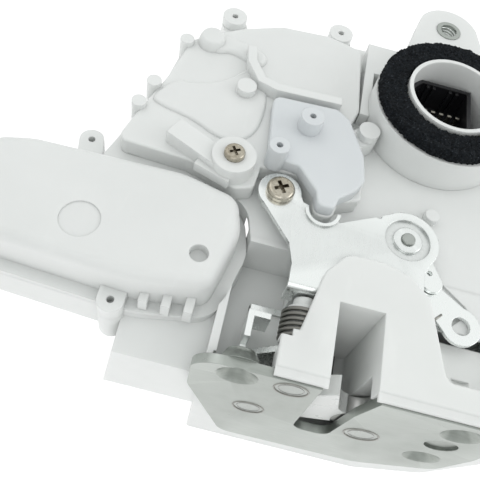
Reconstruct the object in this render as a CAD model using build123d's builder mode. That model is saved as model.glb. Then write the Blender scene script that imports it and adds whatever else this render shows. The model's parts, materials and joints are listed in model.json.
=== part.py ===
from build123d import *
import os
from math import atan2, cos, degrees, pi, radians, sin, sqrt

os.makedirs("parts", exist_ok=True)

# Vehicle door latch with its lock actuator, lying on its back.
# Millimetres.  The origin is on the outer face of the face plate, where the
# axis of the latched striker crosses it.  +X runs along the face plate, +Y
# runs into the latch and +Z points out of the mouth of the striker slot.

# ---------------------------------------------------------------- clearances
RUNNING = 0.05        # radial play of a part that turns on a pin
SEAT = 0.05           # play between fixed parts that touch
MOVING = 0.3          # play between a moving part and its neighbours

# ------------------------------------------------------ face plate and latch
PLATE_T = 3.0
SLOT_HALF = 8.6       # half width of the striker slot at its mouth
SLOT_END_HALF = 5.0
SLOT_END_Z = -9.2
PLATE_TOP = 33.3
SCREW_PLACES = [(-32.1, 27.2), (36.8, 24.0), (37.1, -6.2)]
THREAD_R = 2.5        # tapped hole of an M6 screw
THREAD_LENGTH = 3.2
DISH_R = 6.3
DISH_DEPTH = 4.2
PAD = (36.4, 10.8)    # half-shear pad of the face plate
PAD_R = 5.2
PAD_DEPTH = 0.9

CLAW_PIN = (13.4, 1.8)        # X, Z of the three rivets
PAWL_PIN = (-16.0, 27.0)
SPACER_PIN = (-24.2, 0.8)
CLAW_PIN_R = 5.0
PAWL_PIN_R = 3.5
SPACER_R = 3.5
CLAW_HEAD_R = 5.8
SMALL_HEAD_R = 5.2
HEAD_GAP = 0.25       # ring of play round each rivet head
HEAD_DEPTH = 1.6
HEAD_SINK = 0.05      # rivet heads end just below the face

# The latch block behind the face plate.
BODY_FRONT = PLATE_T + 0.1
BODY_BACK = 29.2
BODY_LEFT = -22.8
BODY_RIGHT = 47.0
BODY_LOW = -31.0
BODY_TOP = 35.0
BODY_STEP = 10.0      # the low left part of the block ends here
BODY_LOW_LEFT = -31.0
BODY_RIGHT_TOP = 22.0
TUNNEL_LEFT = -7.0
TUNNEL_RIGHT = 7.3
TUNNEL_DEPTH = 27.6
TUNNEL_END_Z = -8.0
LIP_FRONT = 0.6

# Claw and pawl, between the face plate and the floor of the latch block.
GEAR_FRONT = PLATE_T + 0.5    # front of the claw and the pawl
GEAR_T = 6.0
CAVITY_BACK = GEAR_FRONT + GEAR_T + 0.6
CLAW_COVER_R = 25.9
CLAW_R = CLAW_COVER_R - 0.5
JAW_MOUTH_R = 5.5
JAW_CENTRE_R = 13.7
JAW_ANGLE = 117.0     # of the mouth's end, seen from the pin, claw open
JAW_DIRECTION = 105.0
PAWL_NOSE_ANGLE = 160.0
PAWL_HUB_R = 6.2
LEVER_T = 2.0         # sheet of the pawl lever

# Coil spring and its bush on the pawl pin.
SPRING_R = 6.9
SPRING_WIRE = 1.3
SPRING_START = 13.6
SPRING_TURNS = 6
SPRING_PITCH = 1.9
BUSH_R = 3.7
BUSH_LENGTH = 3.3

# ---------------------------------------------------------------- back plate
BRACKET_T = 2.0
BRACKET_TOP = 33.0
FLANGE_Y = 29.3
BRACKET_SCREW = (-31.4, 63.1)
BRACKET_END_R = 7.3
LEVER_AXIS = (13.2, 57.1)
LEVER_END_R = 10.7
DISH_RING_R = 7.8
DISH_RING_DEPTH = 1.0
LEVER_PIN_R = 3.0
LEVER_SHEET = 1.5
LEVER_GAP = 0.3

# ---------------------------------------------------------------------- case
WALL = 2.2
CASE_FLOOR = 4.0      # the case's underside, where the back cover sits
CASE_DECK = 26.0
TRAY_DECK = 18.0      # rim of the motor tray
BOX_LOW = -54.0
BOX_BACK = 48.0
BOX_LEFT = -42.0
SIDE_BOX_LEFT = -74.0
SIDE_BOX_TOP = 12.0
SIDE_BOX_LOW = -20.0
SIDE_BOX_BACK = 22.0
SIDE_BOX_DRAFT = 3.6  # its left wall leans in by this much at the top
RECESS_FLOOR = 8.0    # shelf left of the latch block, under the pawl lever's tab
RECESS_RIGHT = -20.0
BACK_COVER_T = 2.2
BOSS_R = 4.2
PILOT_R = 1.2

COVER_TOP = 35.0      # top of the motor cover
COVER_WALL = 1.8
COVER_FLANGE = 4.0
COVER_FLANGE_T = 2.0

LEVER_COVER_TOP = 33.0
LID_TOP = 38.0
CONE_TOP = 40.0

COLLAR = (22.6, 115.2)
COLLAR_OUTER_R = 28.0
COLLAR_TOP = 40.6
TUBE_R = 17.5
TUBE_WALL = 1.5
TUBE_TOP = 46.2
FOAM_R = 27.6
FOAM_T = 5.0
CONNECTOR_TOP = 38.0
CONNECTOR_FLOOR = 24.0
CONNECTOR_RIGHT = 9.4     # flat sides of the connector, from the tube's axis
CONNECTOR_FAR = 12.5
CONNECTOR_WALL = 1.5
RIDGE_TOP = 32.0      # deck left of and behind the collar

LUG = (23.2, 162.7)
LUG_R = 12.6
LUG_TOP = 36.0
LUG_T = 8.0
INSERT_R = 5.0
INSERT_BORE_R = 3.4

# ------------------------------------------------------------- lock gear train
MOTOR_Z = 14.2        # height of the motor's axis
MOTOR_R = 9.4
MOTOR_HALF_T = 7.0
MOTOR_LEFT = -77.6
MOTOR_RIGHT = -52.0
SHAFT_R = 1.0
WHEEL_AXIS = (-89.0, 32.8)
WHEEL_MODULE = 0.8
WHEEL_TEETH = 26
WHEEL_T = 3.0
WORM_PITCH_R = 3.0
WORM_TURNS = 7
PINION_TEETH = 10
PINION_LOW = 22.4
PINION_T = 5.6
SECTOR_AXIS = (-51.7, 31.5)
SECTOR_TEETH = 65     # as if it were a whole wheel
SECTOR_LOW = 23.4
SECTOR_T = 3.6
GEAR_PIN_R = 2.0


def front_plane(depth):
    """A plane parallel to the face plate, at a depth behind its outer face."""
    return Plane.XZ.offset(-depth)


def polar(centre, radius, angle):
    """The point at a radius and an angle in degrees from a centre."""
    return (
        centre[0] + radius * cos(radians(angle)),
        centre[1] + radius * sin(radians(angle)),
    )


def disc_along_y(centre, radius, start, end, mode=Mode.ADD):
    """A round bar along +Y from one depth to another."""
    with BuildSketch(front_plane(start)) as disc:
        with Locations(centre):
            Circle(radius)
    extrude(disc.sketch, amount=start - end, mode=mode)


def disc_along_z(centre, radius, start, end, mode=Mode.ADD):
    """A round bar along +Z from one height to another."""
    with BuildSketch(Plane.XY.offset(start)) as disc:
        with Locations(centre):
            Circle(radius)
    extrude(disc.sketch, amount=end - start, mode=mode)


def block(x_range, y_range, z_range, mode=Mode.ADD):
    """An upright box given by its three ranges."""
    with BuildSketch(Plane.XY.offset(z_range[0])) as base:
        with Locations(((x_range[0] + x_range[1]) / 2, (y_range[0] + y_range[1]) / 2)):
            Rectangle(x_range[1] - x_range[0], y_range[1] - y_range[0])
    extrude(base.sketch, amount=z_range[1] - z_range[0], mode=mode)


def rounded(points, radii):
    """A closed face from corner points and one radius for each corner."""
    with BuildSketch() as outline:
        with BuildLine():
            FilletPolyline(*points, radius=radii, close=True)
        make_face()
    return outline.sketch


def turned(profile, centre, start):
    """A body of revolution along +Y from (radius, depth) points."""
    with BuildPart() as body:
        with BuildSketch(Plane.XY):
            with BuildLine():
                Polyline(*profile, close=True)
            make_face()
        revolve(axis=Axis.Y)
    return body.part.moved(Location((centre[0], start, centre[1])))


def tooth_points(pitch_radius, module, thickness):
    """Corner points of one straight-sided tooth that points along +X."""
    root = pitch_radius - 1.3 * module
    tip = pitch_radius + 0.85 * module
    return [
        (root, -0.95 * thickness),
        (tip, -0.28 * thickness),
        (tip, 0.28 * thickness),
        (root, 0.95 * thickness),
    ]


# ================================================================ face plate
plate_outline = rounded(
    [
        (-46.0, PLATE_TOP),
        (-45.4, 10.0),
        (-29.2, -35.2),
        (22.0, -33.4),
        (46.5, -17.5),
        (50.5, 4.0),
        (50.5, PLATE_TOP),
    ],
    [9.0, 12.0, 6.0, 12.0, 10.0, 12.0, 9.0],
)
slot_outline = rounded(
    [
        (-SLOT_HALF, PLATE_TOP + 10.0),
        (-SLOT_END_HALF - 2.4, SLOT_END_Z),
        (SLOT_END_HALF - 0.4, SLOT_END_Z),
        (SLOT_END_HALF + 1.0, PLATE_TOP - 16.0),
        (SLOT_HALF + 0.2, PLATE_TOP),
        (SLOT_HALF + 0.2, PLATE_TOP + 10.0),
    ],
    [1.0, 4.5, 4.5, 12.0, 1.0, 1.0],
)

with BuildPart() as face_plate:
    with BuildSketch(Plane.XZ):
        add(plate_outline)
        add(slot_outline, mode=Mode.SUBTRACT)
    extrude(amount=-PLATE_T)
    collar_end = DISH_DEPTH + THREAD_LENGTH
    dish_back = [
        (0.0, 0.0),
        (DISH_R + 1.3, 0.0),
        (DISH_R + 1.3, PLATE_T),
        (THREAD_R + 2.6, DISH_DEPTH + 2.0),
        (THREAD_R + 2.0, collar_end),
        (0.0, collar_end),
    ]
    dish_front = [
        (0.0, -1.0),
        (DISH_R, -1.0),
        (DISH_R, 0.0),
        (THREAD_R, DISH_DEPTH),
        (THREAD_R, collar_end + 1.0),
        (0.0, collar_end + 1.0),
    ]
    for place in SCREW_PLACES:
        backing = turned(dish_back, place, 0.0)
        # The dish may not stand out past the plate's own edge at the front.
        add(backing & face_plate.part)
        add(split(backing, bisect_by=Plane.XZ.offset(-PLATE_T + 0.01), keep=Keep.BOTTOM, mode=Mode.PRIVATE))
    for place in SCREW_PLACES:
        add(turned(dish_front, place, 0.0), mode=Mode.SUBTRACT)
    for centre, head_r, shank_r in (
        (CLAW_PIN, CLAW_HEAD_R, 4.2),
        (PAWL_PIN, SMALL_HEAD_R, PAWL_PIN_R - 0.5),
        (SPACER_PIN, SMALL_HEAD_R, SPACER_R - 0.5),
    ):
        seat_end = PLATE_T + 1
        seat = [(0, -1), (head_r, -1), (head_r, 0), (shank_r, HEAD_DEPTH), (shank_r, seat_end), (0, seat_end)]
        add(turned(seat, centre, 0.0), mode=Mode.SUBTRACT)
    # The half-shear pad is pressed in from the front and stands out behind.
    disc_along_y(PAD, PAD_R + 0.2, PLATE_T, PLATE_T + PAD_DEPTH)
    disc_along_y(PAD, PAD_R, 0.0, PAD_DEPTH, mode=Mode.SUBTRACT)


# ==================================================================== rivets
def stepped_pin(centre, head_r, plate_shank_r, steps):
    """A rivet along +Y: a sunk head in the face plate, then (radius, end depth) steps."""
    profile = [(0.0, HEAD_SINK), (head_r - HEAD_GAP, HEAD_SINK)]
    profile.append((plate_shank_r - SEAT, HEAD_DEPTH))
    depth = PLATE_T + 0.02
    profile.append((plate_shank_r - SEAT, depth))
    for radius, end in steps:
        profile.append((radius, depth))
        profile.append((radius, end))
        depth = end
    profile.append((0.0, depth))
    return turned(profile, centre, 0.0)


flange_back = FLANGE_Y + BRACKET_T
spring_end = SPRING_START + SPRING_TURNS * SPRING_PITCH
claw_bore_r = CLAW_PIN_R + RUNNING
pawl_bore_r = PAWL_PIN_R + RUNNING

with BuildPart() as claw_pin:
    add(
        stepped_pin(
            CLAW_PIN,
            CLAW_HEAD_R,
            4.2,
            [
                (CLAW_PIN_R, CAVITY_BACK),
                (4.0, FLANGE_Y - SEAT),
                (3.2, flange_back + SEAT),
                (4.8, flange_back + 1.6),
            ],
        )
    )
with BuildPart() as pawl_pin:
    add(
        stepped_pin(
            PAWL_PIN,
            SMALL_HEAD_R,
            PAWL_PIN_R - 0.5,
            [(PAWL_PIN_R, SPRING_START - 0.4), (2.6, spring_end + BUSH_LENGTH + 1.2)],
        )
    )
with BuildPart() as spacer_rivet:
    add(
        stepped_pin(
            SPACER_PIN,
            SMALL_HEAD_R,
            SPACER_R - 0.5,
            [(SPACER_R, FLANGE_Y - SEAT), (2.6, flange_back + SEAT), (4.2, flange_back + 1.4)],
        )
    )

# ====================================================================== claw
mouth_end = polar(CLAW_PIN, JAW_CENTRE_R, JAW_ANGLE)
mouth_far = polar(mouth_end, 20.0, JAW_DIRECTION)


def claw_sector(radius, start_angle, end_angle):
    """A sector of a disc about the claw pin, from one angle to another."""
    with BuildSketch() as sector:
        with BuildLine():
            first = polar(CLAW_PIN, radius, start_angle)
            middle = polar(CLAW_PIN, radius, (start_angle + end_angle) / 2)
            last = polar(CLAW_PIN, radius, end_angle)
            ThreePointArc(first, middle, last)
            Polyline(last, CLAW_PIN, first)
        make_face()
    return sector.sketch


def claw_mouth(half_width):
    """The fork's mouth: a round-ended slot along the jaw direction."""
    with BuildSketch() as mouth:
        middle = ((mouth_end[0] + mouth_far[0]) / 2, (mouth_end[1] + mouth_far[1]) / 2)
        with Locations(Location((middle[0], middle[1], 0.0), (0, 0, 1), JAW_DIRECTION)):
            SlotCenterToCenter(20.0, 2 * half_width)
    return mouth.sketch


CLAW_JACKET_R = 10.4
JACKET_START = 102.0
JACKET_END = 203.0

with BuildPart() as claw:
    with BuildSketch(front_plane(GEAR_FRONT)):
        add(claw_sector(CLAW_R, 76.0, 200.0))
        with Locations(CLAW_PIN):
            Circle(9.6)
        add(claw_mouth(JAW_MOUTH_R + 0.1), mode=Mode.SUBTRACT)
        with Locations(CLAW_PIN):
            Circle(claw_bore_r, mode=Mode.SUBTRACT)
    extrude(amount=-GEAR_T)
    vertical = claw.edges().filter_by(Axis.Y).group_by(SortBy.LENGTH)[-1]
    corner_points = [polar(CLAW_PIN, CLAW_R, angle) for angle in (76.0, 200.0)]
    corners = [
        edge
        for edge in vertical
        if min(abs(edge.center().X - p[0]) + abs(edge.center().Z - p[1]) for p in corner_points) < 0.1
    ]
    fillet(corners, 2.5)

# The jacket wraps the jaw that the striker strikes, on both faces and round its rim.
with BuildPart() as claw_cover:
    with BuildSketch(front_plane(GEAR_FRONT - 0.25)):
        add(claw_sector(CLAW_COVER_R, JACKET_START, JACKET_END))
        add(claw_mouth(JAW_MOUTH_R - 0.3), mode=Mode.SUBTRACT)
        with Locations(CLAW_PIN):
            Circle(CLAW_JACKET_R, mode=Mode.SUBTRACT)
    extrude(amount=-(GEAR_T + 0.5))
    add(claw.part, mode=Mode.SUBTRACT)

# ====================================================================== pawl
NOSE_R = 3.0
nose_centre = polar(CLAW_PIN, CLAW_COVER_R + MOVING + NOSE_R, PAWL_NOSE_ANGLE + 1.5)

with BuildPart() as pawl:
    with BuildSketch(front_plane(GEAR_FRONT)):
        with Locations(PAWL_PIN):
            Circle(PAWL_HUB_R)
        with Locations(nose_centre):
            Circle(NOSE_R - 0.8)
        make_hull()
        with Locations(PAWL_PIN):
            Circle(pawl_bore_r, mode=Mode.SUBTRACT)
    extrude(amount=-GEAR_T)

with BuildPart() as pawl_cover:
    with BuildSketch(front_plane(GEAR_FRONT)):
        with Locations(nose_centre):
            Circle(NOSE_R)
    extrude(amount=-GEAR_T)
    add(pawl.part, mode=Mode.SUBTRACT)

# The lever stands on the pawl's back and turns with it.  Its arm ends in a
# tab that is bent into the latch, rises and is then bent over to the right.
LEVER_Y = GEAR_FRONT + GEAR_T + SEAT
TAB_LEFT = -32.4
TAB_RIGHT = -25.2
TAB_STEP_Y = 14.0     # the tab rises behind this depth
TAB_BACK_Y = 23.0
TAB_LOW = 10.0
TAB_STEP_Z = 17.0
TAB_TOP = 24.5
with BuildPart() as pawl_lever:
    with BuildSketch(front_plane(LEVER_Y)):
        with Locations(PAWL_PIN):
            Circle(PAWL_HUB_R)
        with Locations((TAB_LEFT + LEVER_T / 2, (TAB_LOW + TAB_STEP_Z) / 2)):
            Rectangle(LEVER_T, TAB_STEP_Z - TAB_LOW)
        make_hull()
        with Locations(PAWL_PIN):
            Circle(pawl_bore_r, mode=Mode.SUBTRACT)
    extrude(amount=-LEVER_T)
    block((TAB_LEFT, TAB_LEFT + LEVER_T), (LEVER_Y, TAB_STEP_Y), (TAB_LOW, TAB_STEP_Z))
    block((TAB_LEFT, TAB_LEFT + LEVER_T), (TAB_STEP_Y, TAB_BACK_Y), (TAB_STEP_Z - 3.0, TAB_TOP))
    block((TAB_LEFT, TAB_RIGHT), (TAB_BACK_Y - LEVER_T, TAB_BACK_Y), (TAB_STEP_Z - 3.0, TAB_TOP))


# =================================================================== springs
def coil_body(centre, radius, wire, start, turns, pitch):
    """A close coil along +Y as one solid: a ribbed tube, a rib for each turn."""
    inner = radius - wire
    profile = [(inner, start)]
    profile.append((radius - wire / 2, start))
    for turn in range(turns):
        low = start + turn * pitch
        profile.append((radius, low + 0.3 * pitch))
        profile.append((radius, low + 0.7 * pitch))
        profile.append((radius - wire / 2, low + pitch))
    profile.append((inner, start + turns * pitch))
    with BuildPart() as coil:
        with BuildSketch(Plane.XY):
            with BuildLine():
                Polyline(*profile, close=True)
            make_face()
        revolve(axis=Axis.Y)
    return coil.part.moved(Location((centre[0], 0.0, centre[1])))


with BuildPart() as pawl_spring:
    add(coil_body(PAWL_PIN, SPRING_R, SPRING_WIRE, SPRING_START, SPRING_TURNS, SPRING_PITCH))

CLAW_SPRING_R = 5.7
with BuildPart() as claw_spring:
    add(coil_body(CLAW_PIN, CLAW_SPRING_R, 1.2, CAVITY_BACK + 0.4, 4, 1.5))

with BuildPart() as spring_bush:
    disc_along_y(PAWL_PIN, SPRING_R - SPRING_WIRE - 0.2, SPRING_START + 0.2, spring_end + 0.2)
    disc_along_y(PAWL_PIN, BUSH_R, spring_end + 0.2, spring_end + 0.2 + BUSH_LENGTH)
    disc_along_y(PAWL_PIN, 2.6 + SEAT, SPRING_START, spring_end + 5.0, mode=Mode.SUBTRACT)

# ================================================================ latch body
body_front_outline = [
    (BODY_LEFT, BODY_FRONT),
    (BODY_LEFT, 13.6),
    (-20.6, 15.5),
    (-17.6, 15.7),
    (-12.6, 37.0),
    (-6.2, 45.0),
    (5.2, 45.4),
    (14.4, 42.8),
    (21.2, 36.4),
    (27.2, 11.2),
    (BODY_RIGHT, 11.2),
    (BODY_RIGHT, BODY_FRONT),
]
body_front_radii = [0.3, 1.0, 0.5, 0.5, 8.0, 5.0, 8.0, 5.0, 4.0, 3.0, 1.0, 0.3]
arch = rounded(body_front_outline, body_front_radii)
CLAW_ROOM_R = CLAW_COVER_R + 0.5
SPRING_ROOM_R = SPRING_R + 0.3

with BuildPart() as latch_body:
    # Low block, high block and the thin arch that lies over the back plate.
    block((BODY_LOW_LEFT, BODY_RIGHT), (BODY_FRONT, BODY_BACK), (BODY_LOW, BODY_STEP))
    block((BODY_LEFT, BODY_RIGHT), (BODY_FRONT, BODY_BACK), (BODY_STEP, BODY_RIGHT_TOP))
    with BuildSketch(Plane.XY.offset(BODY_RIGHT_TOP)):
        add(arch)
        with Locations((10.0, BODY_BACK + 25.0)):
            Rectangle(120.0, 50.0, mode=Mode.SUBTRACT)
    extrude(amount=BODY_TOP - BODY_RIGHT_TOP)
    with BuildSketch(Plane.XY.offset(BRACKET_TOP + 0.1)):
        add(arch)
    extrude(amount=BODY_TOP - BRACKET_TOP - 0.1)
    fillet(latch_body.faces().sort_by(Axis.Z)[-1].edges(), 0.9)
    # Lip that covers the top edge of the face plate.
    block((BODY_LEFT, BODY_RIGHT), (LIP_FRONT, BODY_FRONT + 1.0), (PLATE_TOP + 0.1, BODY_TOP - 0.4))
    # Striker tunnel with a round end.
    with BuildSketch(front_plane(-1.0)):
        with Locations(((TUNNEL_LEFT + TUNNEL_RIGHT) / 2, (TUNNEL_END_Z + BODY_TOP + 5.0) / 2)):
            RectangleRounded(TUNNEL_RIGHT - TUNNEL_LEFT, BODY_TOP + 5.0 - TUNNEL_END_Z, 3.5)
    extrude(amount=-(TUNNEL_DEPTH + 1.0), mode=Mode.SUBTRACT)
    # Room for the claw, the pawl, the springs, the screws and the pins.
    disc_along_y(CLAW_PIN, CLAW_ROOM_R, BODY_FRONT - 1.0, CAVITY_BACK, mode=Mode.SUBTRACT)
    with BuildSketch(front_plane(BODY_FRONT - 1.0)):
        with Locations(PAWL_PIN):
            Circle(PAWL_HUB_R + 0.5)
        with Locations(nose_centre, (nose_centre[0] - 7.5, nose_centre[1] + 1.0)):
            Circle(NOSE_R + 0.5)
        make_hull()
    extrude(amount=-(CAVITY_BACK - BODY_FRONT + 1.0), mode=Mode.SUBTRACT)
    lever_room_back = LEVER_Y + LEVER_T + 0.4
    block((-60.0, -9.0), (CAVITY_BACK - 1.0, lever_room_back), (4.0, BODY_TOP - 1.2), mode=Mode.SUBTRACT)
    disc_along_y(PAWL_PIN, PAWL_HUB_R + 0.5, CAVITY_BACK - 1.0, lever_room_back, mode=Mode.SUBTRACT)
    disc_along_y(PAWL_PIN, SPRING_ROOM_R, lever_room_back - 0.2, BODY_BACK + 1.0, mode=Mode.SUBTRACT)
    block((-60.0, -19.5), (13.0, 60.0), (BODY_STEP, 60.0), mode=Mode.SUBTRACT)
    disc_along_y(CLAW_PIN, CLAW_SPRING_R + 0.25, CAVITY_BACK - 1.0, CAVITY_BACK + 6.8, mode=Mode.SUBTRACT)
    disc_along_y(CLAW_PIN, 4.0 + SEAT, CAVITY_BACK, BODY_BACK + 1.0, mode=Mode.SUBTRACT)
    disc_along_y(SPACER_PIN, SPACER_R + SEAT, BODY_FRONT - 1.0, BODY_BACK + 1.0, mode=Mode.SUBTRACT)
    for place in SCREW_PLACES[1:]:
        disc_along_y(place, DISH_R + 1.6, BODY_FRONT - 1.0, 7.8, mode=Mode.SUBTRACT)
        disc_along_y(place, 3.6, BODY_FRONT - 1.0, 18.0, mode=Mode.SUBTRACT)
    disc_along_y(PAD, PAD_R + 0.5, BODY_FRONT - 1.0, BODY_FRONT + 1.4, mode=Mode.SUBTRACT)

with BuildPart() as bump_stop:
    with BuildSketch(front_plane(CAVITY_BACK + 0.3)):
        with Locations((0.1, TUNNEL_END_Z + 1.3)):
            RectangleRounded(7.2, 2.4, 1.0)
    extrude(amount=-(TUNNEL_DEPTH - CAVITY_BACK - 0.6))

# ================================================================ back plate
bracket_outline = [
    (-37.6, 59.4),
    (-25.2, 44.6),
    (-23.2, 37.5),
    (-23.2, FLANGE_Y),
    (19.5, FLANGE_Y),
    (19.5, 46.0),
    (22.6, 53.0),
    (14.0, 67.5),
    (8.4, 66.6),
    (2.0, 63.0),
    (-10.0, 56.8),
    (-23.0, 61.2),
    (-27.0, 69.0),
]
NOTCH = (-16.2, 59.4)
NOTCH_R = 4.8
SMALL_NOTCH = (2.9, 63.6)
BEND_R = 2.6
LEVER_HOLE_R = LEVER_PIN_R + SEAT
bracket_low = BRACKET_TOP - BRACKET_T
dish_floor = BRACKET_TOP - DISH_RING_DEPTH

with BuildPart() as back_plate:
    with BuildSketch(Plane.XY.offset(bracket_low)):
        with BuildLine():
            Polyline(*bracket_outline, close=True)
        make_face()
        with Locations(BRACKET_SCREW):
            Circle(BRACKET_END_R)
        with Locations(LEVER_AXIS):
            Circle(LEVER_END_R)
        with Locations(NOTCH):
            Circle(NOTCH_R, mode=Mode.SUBTRACT)
        with Locations(SMALL_NOTCH):
            Circle(1.0, mode=Mode.SUBTRACT)
    extrude(amount=BRACKET_T)
    # Formed rim round the notch, and the dish round the rivet.
    with BuildSketch(Plane.XY.offset(bracket_low)):
        with Locations(NOTCH):
            Circle(NOTCH_R + 1.2)
            Circle(NOTCH_R, mode=Mode.SUBTRACT)
        with Locations((NOTCH[0], NOTCH[1] + NOTCH_R)):
            Rectangle(4 * NOTCH_R, 2 * NOTCH_R, mode=Mode.SUBTRACT)
    extrude(amount=BRACKET_T + 0.8)
    disc_along_z(LEVER_AXIS, DISH_RING_R + 0.9, bracket_low - DISH_RING_DEPTH, bracket_low)
    disc_along_z(LEVER_AXIS, DISH_RING_R, dish_floor, BRACKET_TOP + 1.0, mode=Mode.SUBTRACT)
    # Flange parallel to the face plate, which the rivets hold.
    with BuildSketch(front_plane(FLANGE_Y)):
        with BuildLine():
            Polyline(
                (-31.0, -29.0),
                (26.0, -29.0),
                (26.0, 18.0),
                (19.5, 24.0),
                (19.5, BRACKET_TOP),
                (-23.2, BRACKET_TOP),
                (-23.2, 23.5),
                (-11.0, 23.5),
                (-11.0, 11.0),
                (-31.0, 11.0),
                close=True,
            )
        make_face()
    extrude(amount=-BRACKET_T)
    front_edges = back_plate.edges().filter_by(Axis.X).group_by(Axis.Y)[0]
    fillet(front_edges.sort_by(Axis.Z)[-1:], BEND_R)
    disc_along_y(PAWL_PIN, BUSH_R + 0.2, FLANGE_Y - 1.0, flange_back + 1.0, mode=Mode.SUBTRACT)
    bush_sides = (PAWL_PIN[0] - BUSH_R - 0.2, PAWL_PIN[0] + BUSH_R + 0.2)
    block(bush_sides, (FLANGE_Y - 1.0, flange_back + 1.0), (20.0, PAWL_PIN[1]), mode=Mode.SUBTRACT)
    disc_along_y(CLAW_PIN, 3.2 + SEAT, FLANGE_Y - 1.0, flange_back + 1.0, mode=Mode.SUBTRACT)
    disc_along_y(SPACER_PIN, 2.6 + SEAT, FLANGE_Y - 1.0, flange_back + 1.0, mode=Mode.SUBTRACT)
    disc_along_z(LEVER_AXIS, LEVER_HOLE_R, bracket_low - 3.0, BRACKET_TOP + 1.0, mode=Mode.SUBTRACT)
    disc_along_z(BRACKET_SCREW, 2.7, bracket_low - 1.0, BRACKET_TOP + 1.0, mode=Mode.SUBTRACT)

# ============================================================= handle levers
dish_low = bracket_low - DISH_RING_DEPTH
lock_lever_top = dish_low - LEVER_GAP
handle_lever_top = lock_lever_top - LEVER_SHEET - LEVER_GAP
HANDLE_END = (34.2, 33.6)
HANDLE_END_R = 6.6
CABLE_HOLE_R = 3.1
LOCK_END = (23.6, 45.6)
handle_outline = [(6.5, 52.8), (24.2, 35.2), (30.4, 28.2), (40.0, 37.0), (27.0, 45.4), (19.5, 60.5)]

with BuildPart() as handle_lever:
    with BuildSketch(Plane.XY.offset(handle_lever_top - LEVER_SHEET)):
        with BuildLine():
            Polyline(*handle_outline, close=True)
        make_face()
        with Locations(LEVER_AXIS):
            Circle(7.6)
        with Locations(HANDLE_END):
            Circle(HANDLE_END_R)
            Circle(CABLE_HOLE_R, mode=Mode.SUBTRACT)
        with Locations(LEVER_AXIS):
            Circle(LEVER_PIN_R + RUNNING, mode=Mode.SUBTRACT)
    extrude(amount=LEVER_SHEET)

with BuildPart() as lock_lever:
    with BuildSketch(Plane.XY.offset(lock_lever_top - LEVER_SHEET)):
        with Locations(LEVER_AXIS):
            Circle(7.0)
        with Locations(LOCK_END):
            Circle(3.4)
        make_hull()
        with Locations(LEVER_AXIS):
            Circle(LEVER_PIN_R + RUNNING, mode=Mode.SUBTRACT)
        with Locations((LOCK_END[0] - 1.2, LOCK_END[1] + 3.2)):
            Circle(0.9, mode=Mode.SUBTRACT)
    extrude(amount=LEVER_SHEET)

lever_low = handle_lever_top - LEVER_SHEET
SPRING_LOW = lever_low - 5.4
with BuildPart() as lever_rivet:
    disc_along_z(LEVER_AXIS, 5.4, SPRING_LOW - 1.6, SPRING_LOW - 0.3)
    disc_along_z(LEVER_AXIS, LEVER_PIN_R, SPRING_LOW - 0.3, dish_floor + SEAT)
    disc_along_z(LEVER_AXIS, 2.3, dish_floor + SEAT, BRACKET_TOP + 1.0)
    fillet(lever_rivet.faces().sort_by(Axis.Z)[-1].edges(), 0.4)

with BuildPart() as rivet_washer:
    washer_low = dish_floor + SEAT
    disc_along_z(LEVER_AXIS, 4.9, washer_low, washer_low + 1.1)
    fillet(rivet_washer.faces().sort_by(Axis.Z)[-1].edges(), 0.35)
    disc_along_z(LEVER_AXIS, 2.3 + SEAT, washer_low - 1.0, washer_low + 2.0, mode=Mode.SUBTRACT)

# Torsion spring under the handle lever.  Its leg runs below the lever and
# hooks over the lever's edge.
HOOK = (24.9, 33.4)   # just outside the lever's edge
HOOK_ANGLE = 41.5
LEG_T = 0.9
with BuildPart() as lever_spring:
    disc_along_z(LEVER_AXIS, 4.9, SPRING_LOW, lever_low - SEAT)
    for groove in range(1, 4):
        groove_z = SPRING_LOW + groove * 1.35
        with BuildSketch(Plane.XY.offset(groove_z - 0.2)):
            with Locations(LEVER_AXIS):
                Circle(6.0)
                Circle(4.5, mode=Mode.SUBTRACT)
        extrude(amount=0.4, mode=Mode.SUBTRACT)
    with BuildSketch(Plane.XY.offset(lever_low - SEAT - LEG_T)):
        with BuildLine():
            Polyline((LEVER_AXIS[0] + 1.5, LEVER_AXIS[1] - 3.9), HOOK)
        trace(line_width=LEG_T)
    extrude(amount=LEG_T)
    disc_along_z(LEVER_AXIS, LEVER_PIN_R + MOVING, SPRING_LOW - 1.0, lever_low + 1.0, mode=Mode.SUBTRACT)
    with BuildSketch(Plane.XY.offset(lever_low - SEAT - LEG_T)):
        with Locations(Location((HOOK[0], HOOK[1], 0.0), (0, 0, 1), HOOK_ANGLE)):
            Rectangle(LEG_T, LEG_T)
    extrude(amount=LEVER_SHEET + 2 * SEAT + 2 * LEG_T)
    with BuildSketch(Plane.XY.offset(handle_lever_top + SEAT)):
        with Locations(Location((*polar(HOOK, 1.6, HOOK_ANGLE), 0.0), (0, 0, 1), HOOK_ANGLE)):
            Rectangle(4.4, LEG_T)
    extrude(amount=LEG_T)

# ==================================================================== screws
def pan_screw(centre, head_r, head_t, shank_r, seat_z, depth):
    """A cross-recess pan screw along -Z, its head on the seat."""
    with BuildPart() as screw:
        disc_along_z(centre, head_r, seat_z, seat_z + head_t)
        fillet(screw.faces().sort_by(Axis.Z)[-1].edges(), head_t * 0.55)
        disc_along_z(centre, shank_r, seat_z - depth, seat_z)
        with BuildSketch(Plane.XY.offset(seat_z + head_t * 0.35)):
            with Locations(Location((centre[0], centre[1], 0.0), (0, 0, 1), 30.0)):
                Rectangle(head_r * 1.05, head_r * 0.26)
                Rectangle(head_r * 0.26, head_r * 1.05)
        extrude(amount=head_t, mode=Mode.SUBTRACT)
    return screw.part


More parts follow.
